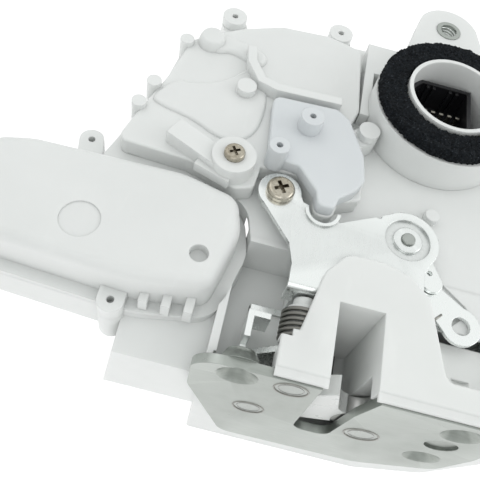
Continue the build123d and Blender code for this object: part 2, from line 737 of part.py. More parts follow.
COVER_SCREW = (-49.1, 67.6)
with BuildPart() as bracket_screw:
    add(pan_screw(BRACKET_SCREW, 4.8, 2.6, 2.4, BRACKET_TOP + 0.02, 14.0))
with BuildPart() as cover_screw:
    add(pan_screw(COVER_SCREW, 3.5, 1.9, 1.7, CONE_TOP + 0.02, 14.0))

# ================================================================= main case
cover_face = rounded(
    [
        (-129.0, 21.8),
        (-68.5, 17.9),
        (-45.6, 21.6),
        (-40.6, 43.5),
        (-44.0, 56.0),
        (-62.7, 60.4),
        (-112.5, 58.9),
        (-129.0, 54.6),
    ],
    [12.0, 40.0, 6.0, 14.0, 7.0, 30.0, 20.0, 12.0],
)
case_face = rounded(
    [
        (-93.0, 62.0),
        (-90.0, 72.0),
        (-81.5, 103.0),
        (-78.5, 126.0),
        (-58.5, 139.5),
        (-42.0, 148.0),
        (6.0, 150.0),
        (40.0, 158.0),
        (68.0, 152.0),
        (84.0, 126.0),
        (84.0, 58.0),
        (72.0, 12.0),
        (60.0, BODY_FRONT),
        (BOX_LEFT, BODY_FRONT),
        (BOX_LEFT, 58.0),
    ],
    [3.0, 8.0, 10.0, 8.0, 12.0, 14.0, 10.0, 14.0, 12.0, 16.0, 14.0, 8.0, 5.0, 2.0, 3.0],
)
box_face = rounded(
    [
        (BOX_LEFT, CASE_DECK),
        (BOX_LEFT + 1.0, BOX_LOW),
        (28.0, BOX_LOW),
        (50.0, -38.0),
        (59.0, -8.0),
        (60.0, CASE_DECK),
    ],
    [0.5, 2.0, 10.0, 10.0, 10.0, 0.5],
)
lever_window = [
    (-84.0, 72.0),
    (-76.0, 100.0),
    (-72.0, 121.0),
    (-56.0, 132.0),
    (-40.0, 139.0),
    (-16.0, 140.0),
    (-13.0, 100.0),
    (-10.0, 76.0),
    (-40.0, 76.0),
    (-58.0, 72.0),
]
# Round bosses on the outside of the case and the point each is webbed to.
MOTOR_BOSSES = [((-98.4, 70.7), (-96.0, 60.0)), ((-74.0, 14.6), (-74.0, 18.0))]
EDGE_BOSSES = [((-63.4, 145.0), (-60.0, 137.0)), ((-19.7, 152.2), (-19.2, 147.0))]
EDGE_BOSS_R = 4.9
EDGE_BOSS_TOP = 29.4
INNER_BOSSES = [(66.0, 142.0), (78.0, 64.0), (2.0, 74.0)]
BACK_SCREWS = [boss for boss, _ in EDGE_BOSSES] + INNER_BOSSES
BRACKET_BOSS_R = 5.2
SMALL_CASE_BOSS = (23.0, 73.0)
motor_y = WHEEL_AXIS[1] + WHEEL_MODULE * WHEEL_TEETH / 2 + WORM_PITCH_R
wheel_low = MOTOR_Z - WHEEL_T / 2


def webbed_boss(places, radius, low, high):
    """Bosses along +Z, each drawn out to its point on the wall."""
    for boss, anchor in places:
        with BuildSketch(Plane.XY.offset(low)) as outline:
            with Locations(boss, anchor):
                Circle(radius)
            make_hull()
        extrude(outline.sketch, amount=high - low)


lever_deck_y = FLANGE_Y + BRACKET_T + 0.5     # the deck under the levers starts here
recess_left = BOX_LEFT + WALL + 0.4
box_wall_y = BOX_BACK + 3.0                   # the lever part's hollow starts here
LEG_POCKET_REACH = 27.5
leg_ends = [polar(LEVER_AXIS, LEG_POCKET_REACH, angle) for angle in (-66.0, -52.0, -38.0)]

with BuildPart() as whole_case:
    with BuildSketch(Plane.XY.offset(CASE_FLOOR)):
        add(case_face)
    extrude(amount=CASE_DECK - CASE_FLOOR)
    webbed_boss(EDGE_BOSSES, EDGE_BOSS_R, CASE_FLOOR, CASE_DECK)
    for boss, _ in EDGE_BOSSES:
        disc_along_z(boss, EDGE_BOSS_R, CASE_DECK - 1.0, EDGE_BOSS_TOP)
    with BuildSketch(front_plane(BODY_FRONT)):
        add(box_face)
    extrude(amount=-(BOX_BACK - BODY_FRONT))
    # Side box: its top slopes up to the motor tray and its left wall leans in.
    with BuildSketch(Plane.YZ.offset(SIDE_BOX_LEFT)):
        with BuildLine():
            Polyline(
                (BODY_FRONT, SIDE_BOX_LOW),
                (BODY_FRONT, SIDE_BOX_TOP),
                (SIDE_BOX_BACK, TRAY_DECK),
                (SIDE_BOX_BACK, SIDE_BOX_LOW),
                close=True,
            )
        make_face()
    extrude(amount=BOX_LEFT + 1.0 - SIDE_BOX_LEFT)
    with BuildSketch(front_plane(BODY_FRONT - 1.0)):
        with BuildLine():
            Polyline(
                (SIDE_BOX_LEFT, SIDE_BOX_LOW),
                (SIDE_BOX_LEFT + SIDE_BOX_DRAFT, SIDE_BOX_TOP),
                (SIDE_BOX_LEFT + SIDE_BOX_DRAFT, TRAY_DECK + 1.0),
                (SIDE_BOX_LEFT - 1.0, TRAY_DECK + 1.0),
                (SIDE_BOX_LEFT - 1.0, SIDE_BOX_LOW),
                close=True,
            )
        make_face()
    extrude(amount=-(SIDE_BOX_BACK - BODY_FRONT + 2.0), mode=Mode.SUBTRACT)
    # Hollow of the lever and connector part, open at the back.
    with BuildSketch(Plane.XY.offset(CASE_FLOOR - 1.0)):
        add(case_face)
        offset(amount=-WALL)
        with Locations((8.0, box_wall_y)):
            Rectangle(108.0, 80.0, align=(Align.CENTER, Align.MAX), mode=Mode.SUBTRACT)
    extrude(amount=CASE_DECK - WALL - CASE_FLOOR + 1.0, mode=Mode.SUBTRACT)
    for place in INNER_BOSSES:
        disc_along_z(place, BOSS_R, CASE_FLOOR, CASE_DECK - 1.0)
    # Hollow of the box behind the face plate, with its front cut out for the latch.
    with BuildSketch(front_plane(BODY_FRONT + WALL)):
        add(box_face)
        offset(amount=-WALL)
    extrude(amount=-(BOX_BACK - BODY_FRONT - 2 * WALL), mode=Mode.SUBTRACT)
    latch_sides = (BODY_LOW_LEFT - MOVING, BODY_RIGHT + MOVING)
    front_wall = (BODY_FRONT - 1.0, BODY_FRONT + WALL + 1.0)
    block(latch_sides, front_wall, (BODY_LOW - 1.0, 60.0), mode=Mode.SUBTRACT)
    block((BOX_LEFT + 1.8, BODY_LEFT), front_wall, (RECESS_FLOOR, 60.0), mode=Mode.SUBTRACT)
    # The box is open above the latch block and over the recess to its left.
    deck_low = CASE_DECK - WALL - 1.0
    block((recess_left, BODY_RIGHT + 1.0), (BODY_FRONT, lever_deck_y), (deck_low, 60.0), mode=Mode.SUBTRACT)
    block((recess_left, RECESS_RIGHT), (lever_deck_y, BOX_BACK - WALL), (deck_low, 60.0), mode=Mode.SUBTRACT)
    with BuildSketch(Plane.XY.offset(CASE_FLOOR)):
        with BuildLine():
            Polyline(*lever_window, close=True)
        make_face()
    extrude(amount=40.0, mode=Mode.SUBTRACT)
    # Shelf and right wall of the recess.
    shelf = (RECESS_FLOOR - WALL, RECESS_FLOOR)
    block((BOX_LEFT + 1.0, BODY_LOW_LEFT - MOVING), (BODY_FRONT, lever_deck_y), shelf)
    block((BOX_LEFT + 1.0, RECESS_RIGHT + WALL), (lever_deck_y, BOX_BACK - 1.0), shelf)
    block((RECESS_RIGHT, RECESS_RIGHT + WALL), (lever_deck_y, BOX_BACK - 1.0), (shelf[0], CASE_DECK))
    # Motor tray, set into the left side of the case.
    with BuildSketch(Plane.XY.offset(CASE_FLOOR)):
        add(cover_face)
        offset(amount=COVER_FLANGE)
    extrude(amount=TRAY_DECK - CASE_FLOOR)
    webbed_boss(MOTOR_BOSSES, BOSS_R, CASE_FLOOR, TRAY_DECK)
    with BuildSketch(Plane.XY.offset(CASE_FLOOR + WALL)):
        add(cover_face)
        offset(amount=COVER_FLANGE - WALL)
    extrude(amount=60.0, mode=Mode.SUBTRACT)
    with BuildSketch(Plane.XY.offset(TRAY_DECK)):
        add(cover_face)
        offset(amount=COVER_FLANGE + MOVING)
    extrude(amount=60.0, mode=Mode.SUBTRACT)
    side_hollow_x = (SIDE_BOX_LEFT + SIDE_BOX_DRAFT + WALL, BOX_LEFT - 1.0)
    side_hollow_y = (BODY_FRONT + WALL, SIDE_BOX_BACK - WALL)
    block(side_hollow_x, side_hollow_y, (SIDE_BOX_LOW - 1.0, CASE_FLOOR - 1.0), mode=Mode.SUBTRACT)
    # Posts for the gear pins and cradles for the motor.
    for centre, top in ((WHEEL_AXIS, wheel_low - MOVING), (SECTOR_AXIS, SECTOR_LOW - MOVING)):
        disc_along_z(centre, 3.6, CASE_FLOOR, top)
        disc_along_z(centre, GEAR_PIN_R + SEAT, CASE_FLOOR + 1.0, top + 1.0, mode=Mode.SUBTRACT)
    for cradle in (MOTOR_LEFT + 6.0, MOTOR_RIGHT - 6.0):
        cradle_y = (motor_y - 8.0, motor_y + 8.0)
        block((cradle - 1.0, cradle + 1.0), cradle_y, (CASE_FLOOR, MOTOR_Z - MOTOR_HALF_T - SEAT))
    # Post under the bracket screw, tied to the box by a web.
    disc_along_z(BRACKET_SCREW, BRACKET_BOSS_R, CASE_FLOOR, bracket_low - SEAT)
    web_x = (BRACKET_SCREW[0] - 1.0, BRACKET_SCREW[0] + 1.0)
    block(web_x, (BOX_BACK - 1.0, BRACKET_SCREW[1]), (CASE_FLOOR, CASE_DECK - 1.0))
    disc_along_z(BRACKET_SCREW, 2.4 + SEAT, 16.0, 60.0, mode=Mode.SUBTRACT)
    # Raised ridge and deck left of and behind the collar.
    block((-8.2, -4.6), (108.0, 147.0), (CASE_DECK - 1.0, RIDGE_TOP))
    block((-8.2, COLLAR[0]), (131.0, 147.0), (CASE_DECK - 1.0, RIDGE_TOP))
    # Collar of the door panel seal, with the connector's tube inside it.
    disc_along_z(COLLAR, COLLAR_OUTER_R, CASE_DECK - WALL, COLLAR_TOP)
    disc_along_z(COLLAR, COLLAR_OUTER_R - WALL, CASE_DECK - WALL - 1.0, COLLAR_TOP - WALL, mode=Mode.SUBTRACT)
    disc_along_z(COLLAR, TUBE_R, CASE_DECK - 6.0, TUBE_TOP)
    disc_along_z(COLLAR, TUBE_R - TUBE_WALL, CASE_DECK - 7.0, TUBE_TOP + 1.0, mode=Mode.SUBTRACT)
    # Mounting lug.
    with BuildSketch(Plane.XY.offset(LUG_TOP - LUG_T)):
        with Locations(LUG):
            Circle(LUG_R)
        with Locations((LUG[0], LUG[1] - 20.0)):
            Rectangle(34.0, 4.0)
        make_hull()
    extrude(amount=LUG_T)
    lug_foot_y = (LUG[1] - 20.0, LUG[1] - 8.0)
    block((LUG[0] - 14.0, LUG[0] + 14.0), lug_foot_y, (CASE_DECK - 1.0, LUG_TOP - LUG_T + 1.0))
    disc_along_z(LUG, INSERT_R + SEAT, LUG_TOP - LUG_T - 1.0, LUG_TOP + 1.0, mode=Mode.SUBTRACT)
    # Room for the lever spring and its swinging leg.
    disc_along_z(LEVER_AXIS, 6.5, CASE_DECK - WALL - 1.0, CASE_DECK + 1.0, mode=Mode.SUBTRACT)
    with BuildSketch(Plane.XY.offset(lever_low - LEG_T - MOVING - SEAT)):
        with Locations(LEVER_AXIS, *leg_ends):
            Circle(2.4)
        make_hull()
    extrude(amount=5.0, mode=Mode.SUBTRACT)
    # Posts and pilot holes of the screws.
    disc_along_z(SMALL_CASE_BOSS, 2.6, CASE_DECK - 0.5, CASE_DECK + 3.0)
    disc_along_z(COVER_SCREW, BOSS_R, CASE_FLOOR, CASE_DECK)
    post_web_x = (COVER_SCREW[0] - 6.0, COVER_SCREW[0] + 6.0)
    post_web_y = (COVER_SCREW[1] - 2.0, COVER_SCREW[1] + 6.0)
    block(post_web_x, post_web_y, (CASE_DECK - WALL, CASE_DECK))
    disc_along_z(COVER_SCREW, 1.7 + SEAT, CASE_DECK - 6.0, CASE_DECK + 1.0, mode=Mode.SUBTRACT)
    for place in BACK_SCREWS:
        disc_along_z(place, PILOT_R + SEAT, CASE_FLOOR - 1.0, CASE_FLOOR + 10.0, mode=Mode.SUBTRACT)
    for boss, _ in EDGE_BOSSES:
        disc_along_z(boss, PILOT_R, CASE_DECK - 4.0, EDGE_BOSS_TOP + 1.0, mode=Mode.SUBTRACT)

# The case is one moulding. It is kept as four simple nodes that meet face to face: the latch box
# round the latch block, the collar with the connector's tube, the lug, and the rest of the case.
LUG_NECK = 148.0
latch_box_room = ((BOX_LEFT, 100.0), (0.0, BOX_BACK), (BOX_LOW - 6.0, 60.0))
lug_room = ((0.0, 50.0), (LUG_NECK, 180.0), (CASE_DECK, 60.0))

with BuildPart() as latch_box:
    add(whole_case.part)
    block(*latch_box_room, mode=Mode.INTERSECT)

with BuildPart() as collar_room:
    disc_along_z(COLLAR, COLLAR_OUTER_R, CASE_DECK, 60.0)
    disc_along_z(COLLAR, TUBE_R + 1.0, CASE_DECK - 8.0, 60.0)

with BuildPart() as case_collar:
    add(whole_case.part)
    add(collar_room.part, mode=Mode.INTERSECT)

with BuildPart() as case_lug:
    add(whole_case.part)
    block(*lug_room, mode=Mode.INTERSECT)

with BuildPart() as main_case:
    add(whole_case.part)
    block(*latch_box_room, mode=Mode.SUBTRACT)
    block(*lug_room, mode=Mode.SUBTRACT)
    add(collar_room.part, mode=Mode.SUBTRACT)

with BuildPart() as threaded_insert:
    disc_along_z(LUG, INSERT_R, LUG_TOP - LUG_T, LUG_TOP + 0.4)
    disc_along_z(LUG, INSERT_BORE_R, LUG_TOP - LUG_T - 1.0, LUG_TOP + 1.0, mode=Mode.SUBTRACT)

# =============================================================== back cover
with BuildPart() as back_cover:
    with BuildSketch(Plane.XY.offset(CASE_FLOOR - SEAT - BACK_COVER_T)):
        add(case_face)
        offset(amount=-0.4)
        with Locations((8.0, box_wall_y + 0.5)):
            Rectangle(109.0, 80.0, align=(Align.CENTER, Align.MAX), mode=Mode.SUBTRACT)
        with Locations((-80.0, 50.0)):
            Rectangle(100.0, 44.0, mode=Mode.SUBTRACT)
    extrude(amount=BACK_COVER_T)
    for boss, anchor in EDGE_BOSSES:
        with BuildSketch(Plane.XY.offset(CASE_FLOOR - SEAT - BACK_COVER_T)):
            with Locations(boss, anchor):
                Circle(BOSS_R)
            make_hull()
        extrude(amount=BACK_COVER_T)
    for place in BACK_SCREWS:
        disc_along_z(place, PILOT_R + 0.4, -1.0, CASE_FLOOR + 1.0, mode=Mode.SUBTRACT)

screw_seat = CASE_FLOOR - 2 * SEAT - BACK_COVER_T
with BuildPart() as back_cover_screws:
    for place in BACK_SCREWS:
        disc_along_z(place, 2.9, screw_seat - 1.5, screw_seat)
        disc_along_z(place, PILOT_R, screw_seat - 0.5, CASE_FLOOR + 8.0)
        disc_along_z(place, 1.2, screw_seat - 2.0, screw_seat - 0.8, mode=Mode.SUBTRACT)

# =============================================================== motor cover
with BuildPart() as motor_cover:
    with BuildSketch(Plane.XY.offset(TRAY_DECK + SEAT)):
        add(cover_face)
    extrude(amount=COVER_TOP - TRAY_DECK - SEAT)
    fillet(motor_cover.faces().sort_by(Axis.Z)[-1].edges(), 4.0)
    with BuildSketch(Plane.XY.offset(TRAY_DECK + SEAT)):
        add(cover_face)
        offset(amount=COVER_FLANGE)
    extrude(amount=COVER_FLANGE_T)
    webbed_boss(MOTOR_BOSSES, BOSS_R, TRAY_DECK + SEAT, TRAY_DECK + 6.0)
    with BuildSketch(Plane.XY.offset(TRAY_DECK - 1.0)):
        add(cover_face)
        offset(amount=-COVER_WALL)
    extrude(amount=COVER_TOP - COVER_WALL - TRAY_DECK + 1.0, mode=Mode.SUBTRACT)
    disc_along_z(WHEEL_AXIS, 6.3, COVER_TOP - 0.5, COVER_TOP + 1.0, mode=Mode.SUBTRACT)
    disc_along_z(SECTOR_AXIS, 4.6, COVER_TOP - 5.0, COVER_TOP - 1.0)
    disc_along_z(SECTOR_AXIS, 3.0, COVER_TOP - 3.4, COVER_TOP + 1.0, mode=Mode.SUBTRACT)
    for boss, _ in MOTOR_BOSSES:
        disc_along_z(boss, PILOT_R, TRAY_DECK + 2.0, TRAY_DECK + 7.0, mode=Mode.SUBTRACT)
    for prong_x in (-64.5, -57.5, -50.5):
        block((prong_x - 1.4, prong_x + 1.4), (15.6, 21.0), (TRAY_DECK + 1.0, TRAY_DECK + 8.0))

# =============================================================== lever cover
lever_cover_face = rounded(
    [
        (-88.5, 67.4),
        (-64.0, 66.2),
        (-58.0, 64.6),
        (-46.5, 59.4),
        (-40.2, 62.0),
        (-39.4, 71.0),
        (-26.0, 71.6),
        (-20.2, 64.0),
        (-19.4, 57.6),
        (-13.0, 57.6),
        (-11.6, 64.4),
        (-4.0, 68.0),
        (-5.0, 83.0),
        (-11.4, 98.6),
        (-8.6, 108.0),
        (-11.0, 140.6),
        (-25.0, 144.0),
        (-43.5, 142.2),
        (-58.0, 135.4),
        (-70.0, 127.0),
        (-76.0, 121.5),
        (-80.0, 99.4),
        (-86.5, 76.0),
    ],
    [3, 2, 3, 4, 2, 0.6, 2, 2, 3, 3, 2, 2, 6, 3, 4, 4, 6, 6, 6, 3, 4, 6, 4],
)
ARM = [(-71.0, 74.4), (-60.0, 69.4), (-50.0, 64.6)]
SECOND_RIB = [(-60.6, 64.6), (-48.4, 60.6)]
TOP_RIB = [(-53.0, 121.5), (-51.6, 114.0), (-46.5, 106.0), (-40.0, 104.2), (-16.5, 105.4)]
CLIP_PLACES = [(-85.6, 83.8), (-83.2, 94.6), (-77.4, 119.2)]
BIG_BOSS = (-26.6, 89.0)
SIDE_BOSS = (-35.5, 73.8)
ROUND_BOSS = (-51.2, 101.9)
HOOK_BOSS = (-4.6, 97.2)
HOOK_BOSS_R = 3.9
HOOK_TIP = (-1.4, 98.4)
HOOK_TOP = 36.0

with BuildPart() as lever_cover:
    with BuildSketch(Plane.XY.offset(CASE_DECK + SEAT)):
        add(lever_cover_face)
    extrude(amount=LEVER_COVER_TOP - CASE_DECK - SEAT)
    fillet(lever_cover.faces().sort_by(Axis.Z)[-1].edges(), 0.8)
    disc_along_z(COVER_SCREW, 7.4, LEVER_COVER_TOP - 1.0, CONE_TOP)
    with BuildSketch(Plane.XY.offset(CASE_DECK - 1.0)):
        with BuildLine():
            Polyline(*lever_window, close=True)
        make_face()
    extrude(amount=LEVER_COVER_TOP - COVER_WALL - CASE_DECK + 1.0, mode=Mode.SUBTRACT)
    disc_along_z(COVER_SCREW, 4.8, CASE_DECK + SEAT, LEVER_COVER_TOP)
    for line, width, top in ((ARM, 7.6, CONE_TOP - 1.6), (SECOND_RIB, 3.4, 36.0), (TOP_RIB, 3.4, 38.0)):
        with BuildSketch(Plane.XY.offset(LEVER_COVER_TOP - 1.0)):
            with BuildLine():
                Polyline(*line)
            trace(line_width=width)
        extrude(amount=top - LEVER_COVER_TOP + 1.0)
    disc_along_z(COVER_SCREW, 1.7 + SEAT, CASE_DECK - 1.0, CONE_TOP + 1.0, mode=Mode.SUBTRACT)
    disc_along_z(ROUND_BOSS, 3.6, LEVER_COVER_TOP - 1.0, 37.0)
    webbed_boss([(HOOK_BOSS, (-11.0, 92.0))], HOOK_BOSS_R, CASE_DECK + SEAT, LEVER_COVER_TOP)
    with BuildSketch(Plane.XY.offset(CASE_DECK + SEAT)):
        with Locations(HOOK_BOSS):
            Circle(HOOK_BOSS_R)
        with Locations(HOOK_TIP):
            Circle(0.6)
        make_hull()
    extrude(amount=HOOK_TOP - CASE_DECK - SEAT)
    for place in CLIP_PLACES:
        disc_along_z(place, 2.6, CASE_DECK + SEAT, LEVER_COVER_TOP + 2.0)

gear_lid_face = rounded(
    [
        (-41.0, 99.8),
        (-17.5, 101.2),
        (-12.6, 97.6),
        (-6.0, 83.0),
        (-4.6, 72.4),
        (-7.6, 67.2),
        (-12.6, 62.6),
        (-13.4, 58.2),
        (-19.0, 58.2),
        (-20.4, 63.6),
        (-27.4, 71.6),
        (-38.2, 72.6),
    ],
    [3, 2, 3, 4, 3, 2, 2, 2.4, 2.4, 2, 2, 3],
)
with BuildPart() as gear_lid:
    with BuildSketch(Plane.XY.offset(LEVER_COVER_TOP + SEAT)):
        add(gear_lid_face)
    extrude(amount=LID_TOP - LEVER_COVER_TOP - SEAT)
    fillet(gear_lid.faces().sort_by(Axis.Z)[-1].edges(), 0.8)
    with BuildSketch(Plane.XY.offset(LEVER_COVER_TOP - 1.0)):
        with BuildLine():
            Polyline((-36.0, 96.0), (-16.0, 96.6), (-9.0, 82.0), (-8.0, 74.0), (-35.0, 77.0), close=True)
        make_face()
    extrude(amount=LID_TOP - 2.0 - LEVER_COVER_TOP + 1.0, mode=Mode.SUBTRACT)
    for place, radius, top in ((BIG_BOSS, 4.1, 44.0), (SIDE_BOSS, 3.5, 43.0)):
        disc_along_z(place, radius, LEVER_COVER_TOP + SEAT, top)
        disc_along_z(place, 1.1, top - 4.0, top + 1.0, mode=Mode.SUBTRACT)

# ======================================================= foam ring, connector
with BuildPart() as foam_ring:
    disc_along_z(COLLAR, FOAM_R, COLLAR_TOP + SEAT, COLLAR_TOP + SEAT + FOAM_T)
    fillet(foam_ring.edges().filter_by(GeomType.CIRCLE), 1.2)
    disc_along_z(COLLAR, TUBE_R + MOVING, COLLAR_TOP - 1.0, TUBE_TOP, mode=Mode.SUBTRACT)

PIN_COLUMNS = 6
PIN_PITCH = 3.2
PIN_ROWS = (-3.6, 1.6)        # from the tube's axis
PIN_MIDDLE = -1.8
pin_places = [
    (COLLAR[0] + PIN_MIDDLE + (column - (PIN_COLUMNS - 1) / 2) * PIN_PITCH, COLLAR[1] + row)
    for row in PIN_ROWS
    for column in range(PIN_COLUMNS)
]
KEY_RIBS = (-7.2, -4.8, 1.6, 4.2)
connector_r = TUBE_R - TUBE_WALL - SEAT


def connector_outline(inset):
    """The tube's bore with its right and far sides cut flat, drawn in by an inset."""
    size = 4 * connector_r
    with BuildSketch() as outline:
        with Locations(COLLAR):
            Circle(connector_r - inset)
        with Locations((COLLAR[0] + CONNECTOR_RIGHT - inset, COLLAR[1] + CONNECTOR_FAR - inset)):
            Rectangle(size, size, align=(Align.MAX, Align.MAX), mode=Mode.INTERSECT)
    return outline.sketch


with BuildPart() as connector:
    disc_along_z(COLLAR, connector_r, CONNECTOR_FLOOR, CONNECTOR_FLOOR + 2.5)
    with BuildSketch(Plane.XY.offset(CONNECTOR_FLOOR)):
        add(connector_outline(0.0))
    extrude(amount=CONNECTOR_TOP - CONNECTOR_FLOOR)
    with BuildSketch(Plane.XY.offset(CONNECTOR_FLOOR + 2.5)):
        add(connector_outline(CONNECTOR_WALL))
    extrude(amount=CONNECTOR_TOP, mode=Mode.SUBTRACT)
    # Key ribs on the far wall of the socket.
    rib_y = COLLAR[1] + CONNECTOR_FAR - CONNECTOR_WALL
    rib_z = (CONNECTOR_FLOOR + 2.0, CONNECTOR_TOP - 0.6)
    for rib in KEY_RIBS:
        rib_x = COLLAR[0] + rib
        block((rib_x - 0.6, rib_x + 0.6), (rib_y - 1.2, rib_y + 0.2), rib_z)
    with BuildSketch(Plane.XY.offset(CONNECTOR_FLOOR - 1.0)):
        with Locations(pin_places):
            Rectangle(1.7, 1.0)
    extrude(amount=CONNECTOR_TOP, mode=Mode.SUBTRACT)

with BuildPart() as connector_pins:
    with BuildSketch(Plane.XY.offset(CONNECTOR_FLOOR - 6.0)):
        with Locations(pin_places):
            Rectangle(1.6, 0.9)
    extrude(amount=CONNECTOR_TOP - 4.0 - CONNECTOR_FLOOR + 6.0)

# Stamped conductors that lie on the back cover under the connector.
STRIP_LOW = CASE_FLOOR
with BuildPart() as contact_strips:
    for lane in range(3):
        step = 4.0 * lane
        with BuildSketch(Plane.XY.offset(STRIP_LOW)):
            with BuildLine():
                Polyline(
                    (COLLAR[0] - 8.0 + step, COLLAR[1] - 4.0),
                    (COLLAR[0] - 8.0 + step, 96.0 + step),
                    (-20.0 - step, 96.0 + step),
                    (-50.0 - step, 82.0 + step),
                )
            trace(line_width=2.0)
        extrude(amount=0.8)
        block(
            (COLLAR[0] - 9.0 + step, COLLAR[0] - 7.0 + step),
            (COLLAR[1] - 4.6, COLLAR[1] - 3.8),
            (STRIP_LOW, CONNECTOR_FLOOR - 6.1),
        )

# ================================================================ lock drive
shaft_plane = Plane.YZ.offset(MOTOR_LEFT)
with BuildPart() as motor:
    with BuildSketch(shaft_plane):
        with Locations((motor_y, MOTOR_Z)):
            Circle(MOTOR_R)
            Rectangle(2 * MOTOR_R, 2 * MOTOR_HALF_T, mode=Mode.INTERSECT)
    extrude(amount=MOTOR_RIGHT - MOTOR_LEFT)
    with BuildSketch(shaft_plane.offset(-1.6)):
        with Locations((motor_y, MOTOR_Z)):
            Circle(3.0)
    extrude(amount=2.0)
    with BuildSketch(shaft_plane.offset(-2.0)):
        with Locations((motor_y, MOTOR_Z)):
            Circle(SHAFT_R + RUNNING)
    extrude(amount=MOTOR_RIGHT - MOTOR_LEFT - 2.0, mode=Mode.SUBTRACT)

with BuildPart() as motor_shaft:
    with BuildSketch(shaft_plane.offset(-24.0)):
        with Locations((motor_y, MOTOR_Z)):
            Circle(SHAFT_R)
    extrude(amount=24.0 + MOTOR_RIGHT - MOTOR_LEFT - 6.0)

# The thread reaches the wheel's side of the worm a quarter turn after it
# starts.  This start puts a thread midway between two teeth of the wheel.
worm_lead = pi * WHEEL_MODULE
worm_length = WORM_TURNS * worm_lead
worm_start = WHEEL_AXIS[0] - 3.75 * worm_lead
worm_root = WORM_PITCH_R - 0.7
with BuildPart() as worm:
    with BuildSketch(Plane.YZ.offset(worm_start)):
        with Locations((motor_y, MOTOR_Z)):
            Circle(worm_root)
    extrude(amount=worm_length)
    with BuildLine() as worm_path:
        Helix(
            pitch=worm_lead,
            height=worm_length - worm_lead,
            radius=worm_root - 0.15,
            center=(worm_start + worm_lead / 2, motor_y, MOTOR_Z),
            direction=(1, 0, 0),
        )
    thread_plane = Plane(origin=worm_path.line @ 0, x_dir=(1, 0, 0), z_dir=worm_path.line % 0)
    with BuildSketch(thread_plane):
        Polygon((-0.55, 0.0), (0.55, 0.0), (0.22, 1.4), (-0.22, 1.4), align=None)
    sweep(is_frenet=True)
    with BuildSketch(Plane.YZ.offset(worm_start - 1.0)):
        with Locations((motor_y, MOTOR_Z)):
            Circle(SHAFT_R + 0.01)
    extrude(amount=worm_length + 2.0, mode=Mode.SUBTRACT)

wheel_pitch_r = WHEEL_MODULE * WHEEL_TEETH / 2
axle_distance = sqrt((SECTOR_AXIS[0] - WHEEL_AXIS[0]) ** 2 + (SECTOR_AXIS[1] - WHEEL_AXIS[1]) ** 2)
pinion_module = 2 * axle_distance / (PINION_TEETH + SECTOR_TEETH)
pinion_r = pinion_module * PINION_TEETH / 2
sector_r = pinion_module * SECTOR_TEETH / 2
axle_angle = degrees(atan2(SECTOR_AXIS[1] - WHEEL_AXIS[1], SECTOR_AXIS[0] - WHEEL_AXIS[0]))


def toothed(centre, pitch_r, module, thickness, angles, low, high):
    """Straight slim teeth round a centre, one at each angle."""
    with BuildSketch(Plane.XY.offset(low)) as teeth:
        for angle in angles:
            with Locations(Location((centre[0], centre[1], 0.0), (0, 0, 1), angle)):
                Polygon(*tooth_points(pitch_r, module, thickness), align=None)
    extrude(teeth.sketch, amount=high - low)


with BuildPart() as worm_wheel:
    disc_along_z(WHEEL_AXIS, wheel_pitch_r - 1.2 * WHEEL_MODULE, wheel_low, wheel_low + WHEEL_T)
    wheel_angles = [90.0 + 360.0 / WHEEL_TEETH * (tooth + 0.5) for tooth in range(WHEEL_TEETH)]
    toothed(WHEEL_AXIS, wheel_pitch_r, WHEEL_MODULE, 0.72, wheel_angles, wheel_low, wheel_low + WHEEL_T)
    disc_along_z(WHEEL_AXIS, 6.6, wheel_low, PINION_LOW)
    disc_along_z(WHEEL_AXIS, pinion_r - 1.2 * pinion_module, PINION_LOW, PINION_LOW + PINION_T)
    pinion_angles = [axle_angle + 360.0 / PINION_TEETH * (tooth + 0.5) for tooth in range(PINION_TEETH)]
    toothed(WHEEL_AXIS, pinion_r, pinion_module, 1.0, pinion_angles, PINION_LOW, PINION_LOW + PINION_T)
    pinion_top = PINION_LOW + PINION_T
    disc_along_z(WHEEL_AXIS, GEAR_PIN_R + RUNNING, wheel_low - 1.0, pinion_top + 1.0, mode=Mode.SUBTRACT)

with BuildPart() as wheel_pin:
    disc_along_z(WHEEL_AXIS, GEAR_PIN_R, CASE_FLOOR + 1.0 + SEAT, COVER_TOP - COVER_WALL - SEAT)

# The sector's teeth cover its swing.
tooth_step = 360.0 / SECTOR_TEETH
sector_teeth_angles = [axle_angle + 180.0 - tooth_step * tooth for tooth in range(4)]
ARM_ANGLE = 75.0
ARM_REACH = 14.0
with BuildPart() as lock_sector:
    with BuildSketch(Plane.XY.offset(SECTOR_LOW)):
        with BuildLine():
            rim_r = sector_r - 1.2 * pinion_module
            first = polar(SECTOR_AXIS, rim_r, sector_teeth_angles[0] + 3.0)
            last = polar(SECTOR_AXIS, rim_r, sector_teeth_angles[-1] - 3.4)
            middle = polar(SECTOR_AXIS, rim_r, (sector_teeth_angles[0] + sector_teeth_angles[-1]) / 2)
            ThreePointArc(first, middle, last)
            Polyline(last, SECTOR_AXIS, first)
        make_face()
    extrude(amount=SECTOR_T)
    toothed(SECTOR_AXIS, sector_r, pinion_module, 1.0, sector_teeth_angles, SECTOR_LOW, SECTOR_LOW + SECTOR_T)
    disc_along_z(SECTOR_AXIS, 5.0, SECTOR_LOW, SECTOR_LOW + SECTOR_T + 2.0)
    with BuildSketch(Plane.XY.offset(SECTOR_LOW)):
        with Locations(SECTOR_AXIS):
            Circle(4.0)
        with Locations(polar(SECTOR_AXIS, ARM_REACH, ARM_ANGLE)):
            Circle(3.0)
        make_hull()
    extrude(amount=SECTOR_T)
    hub_top = SECTOR_LOW + SECTOR_T + 3.0
    disc_along_z(SECTOR_AXIS, GEAR_PIN_R + RUNNING, SECTOR_LOW - 1.0, hub_top, mode=Mode.SUBTRACT)

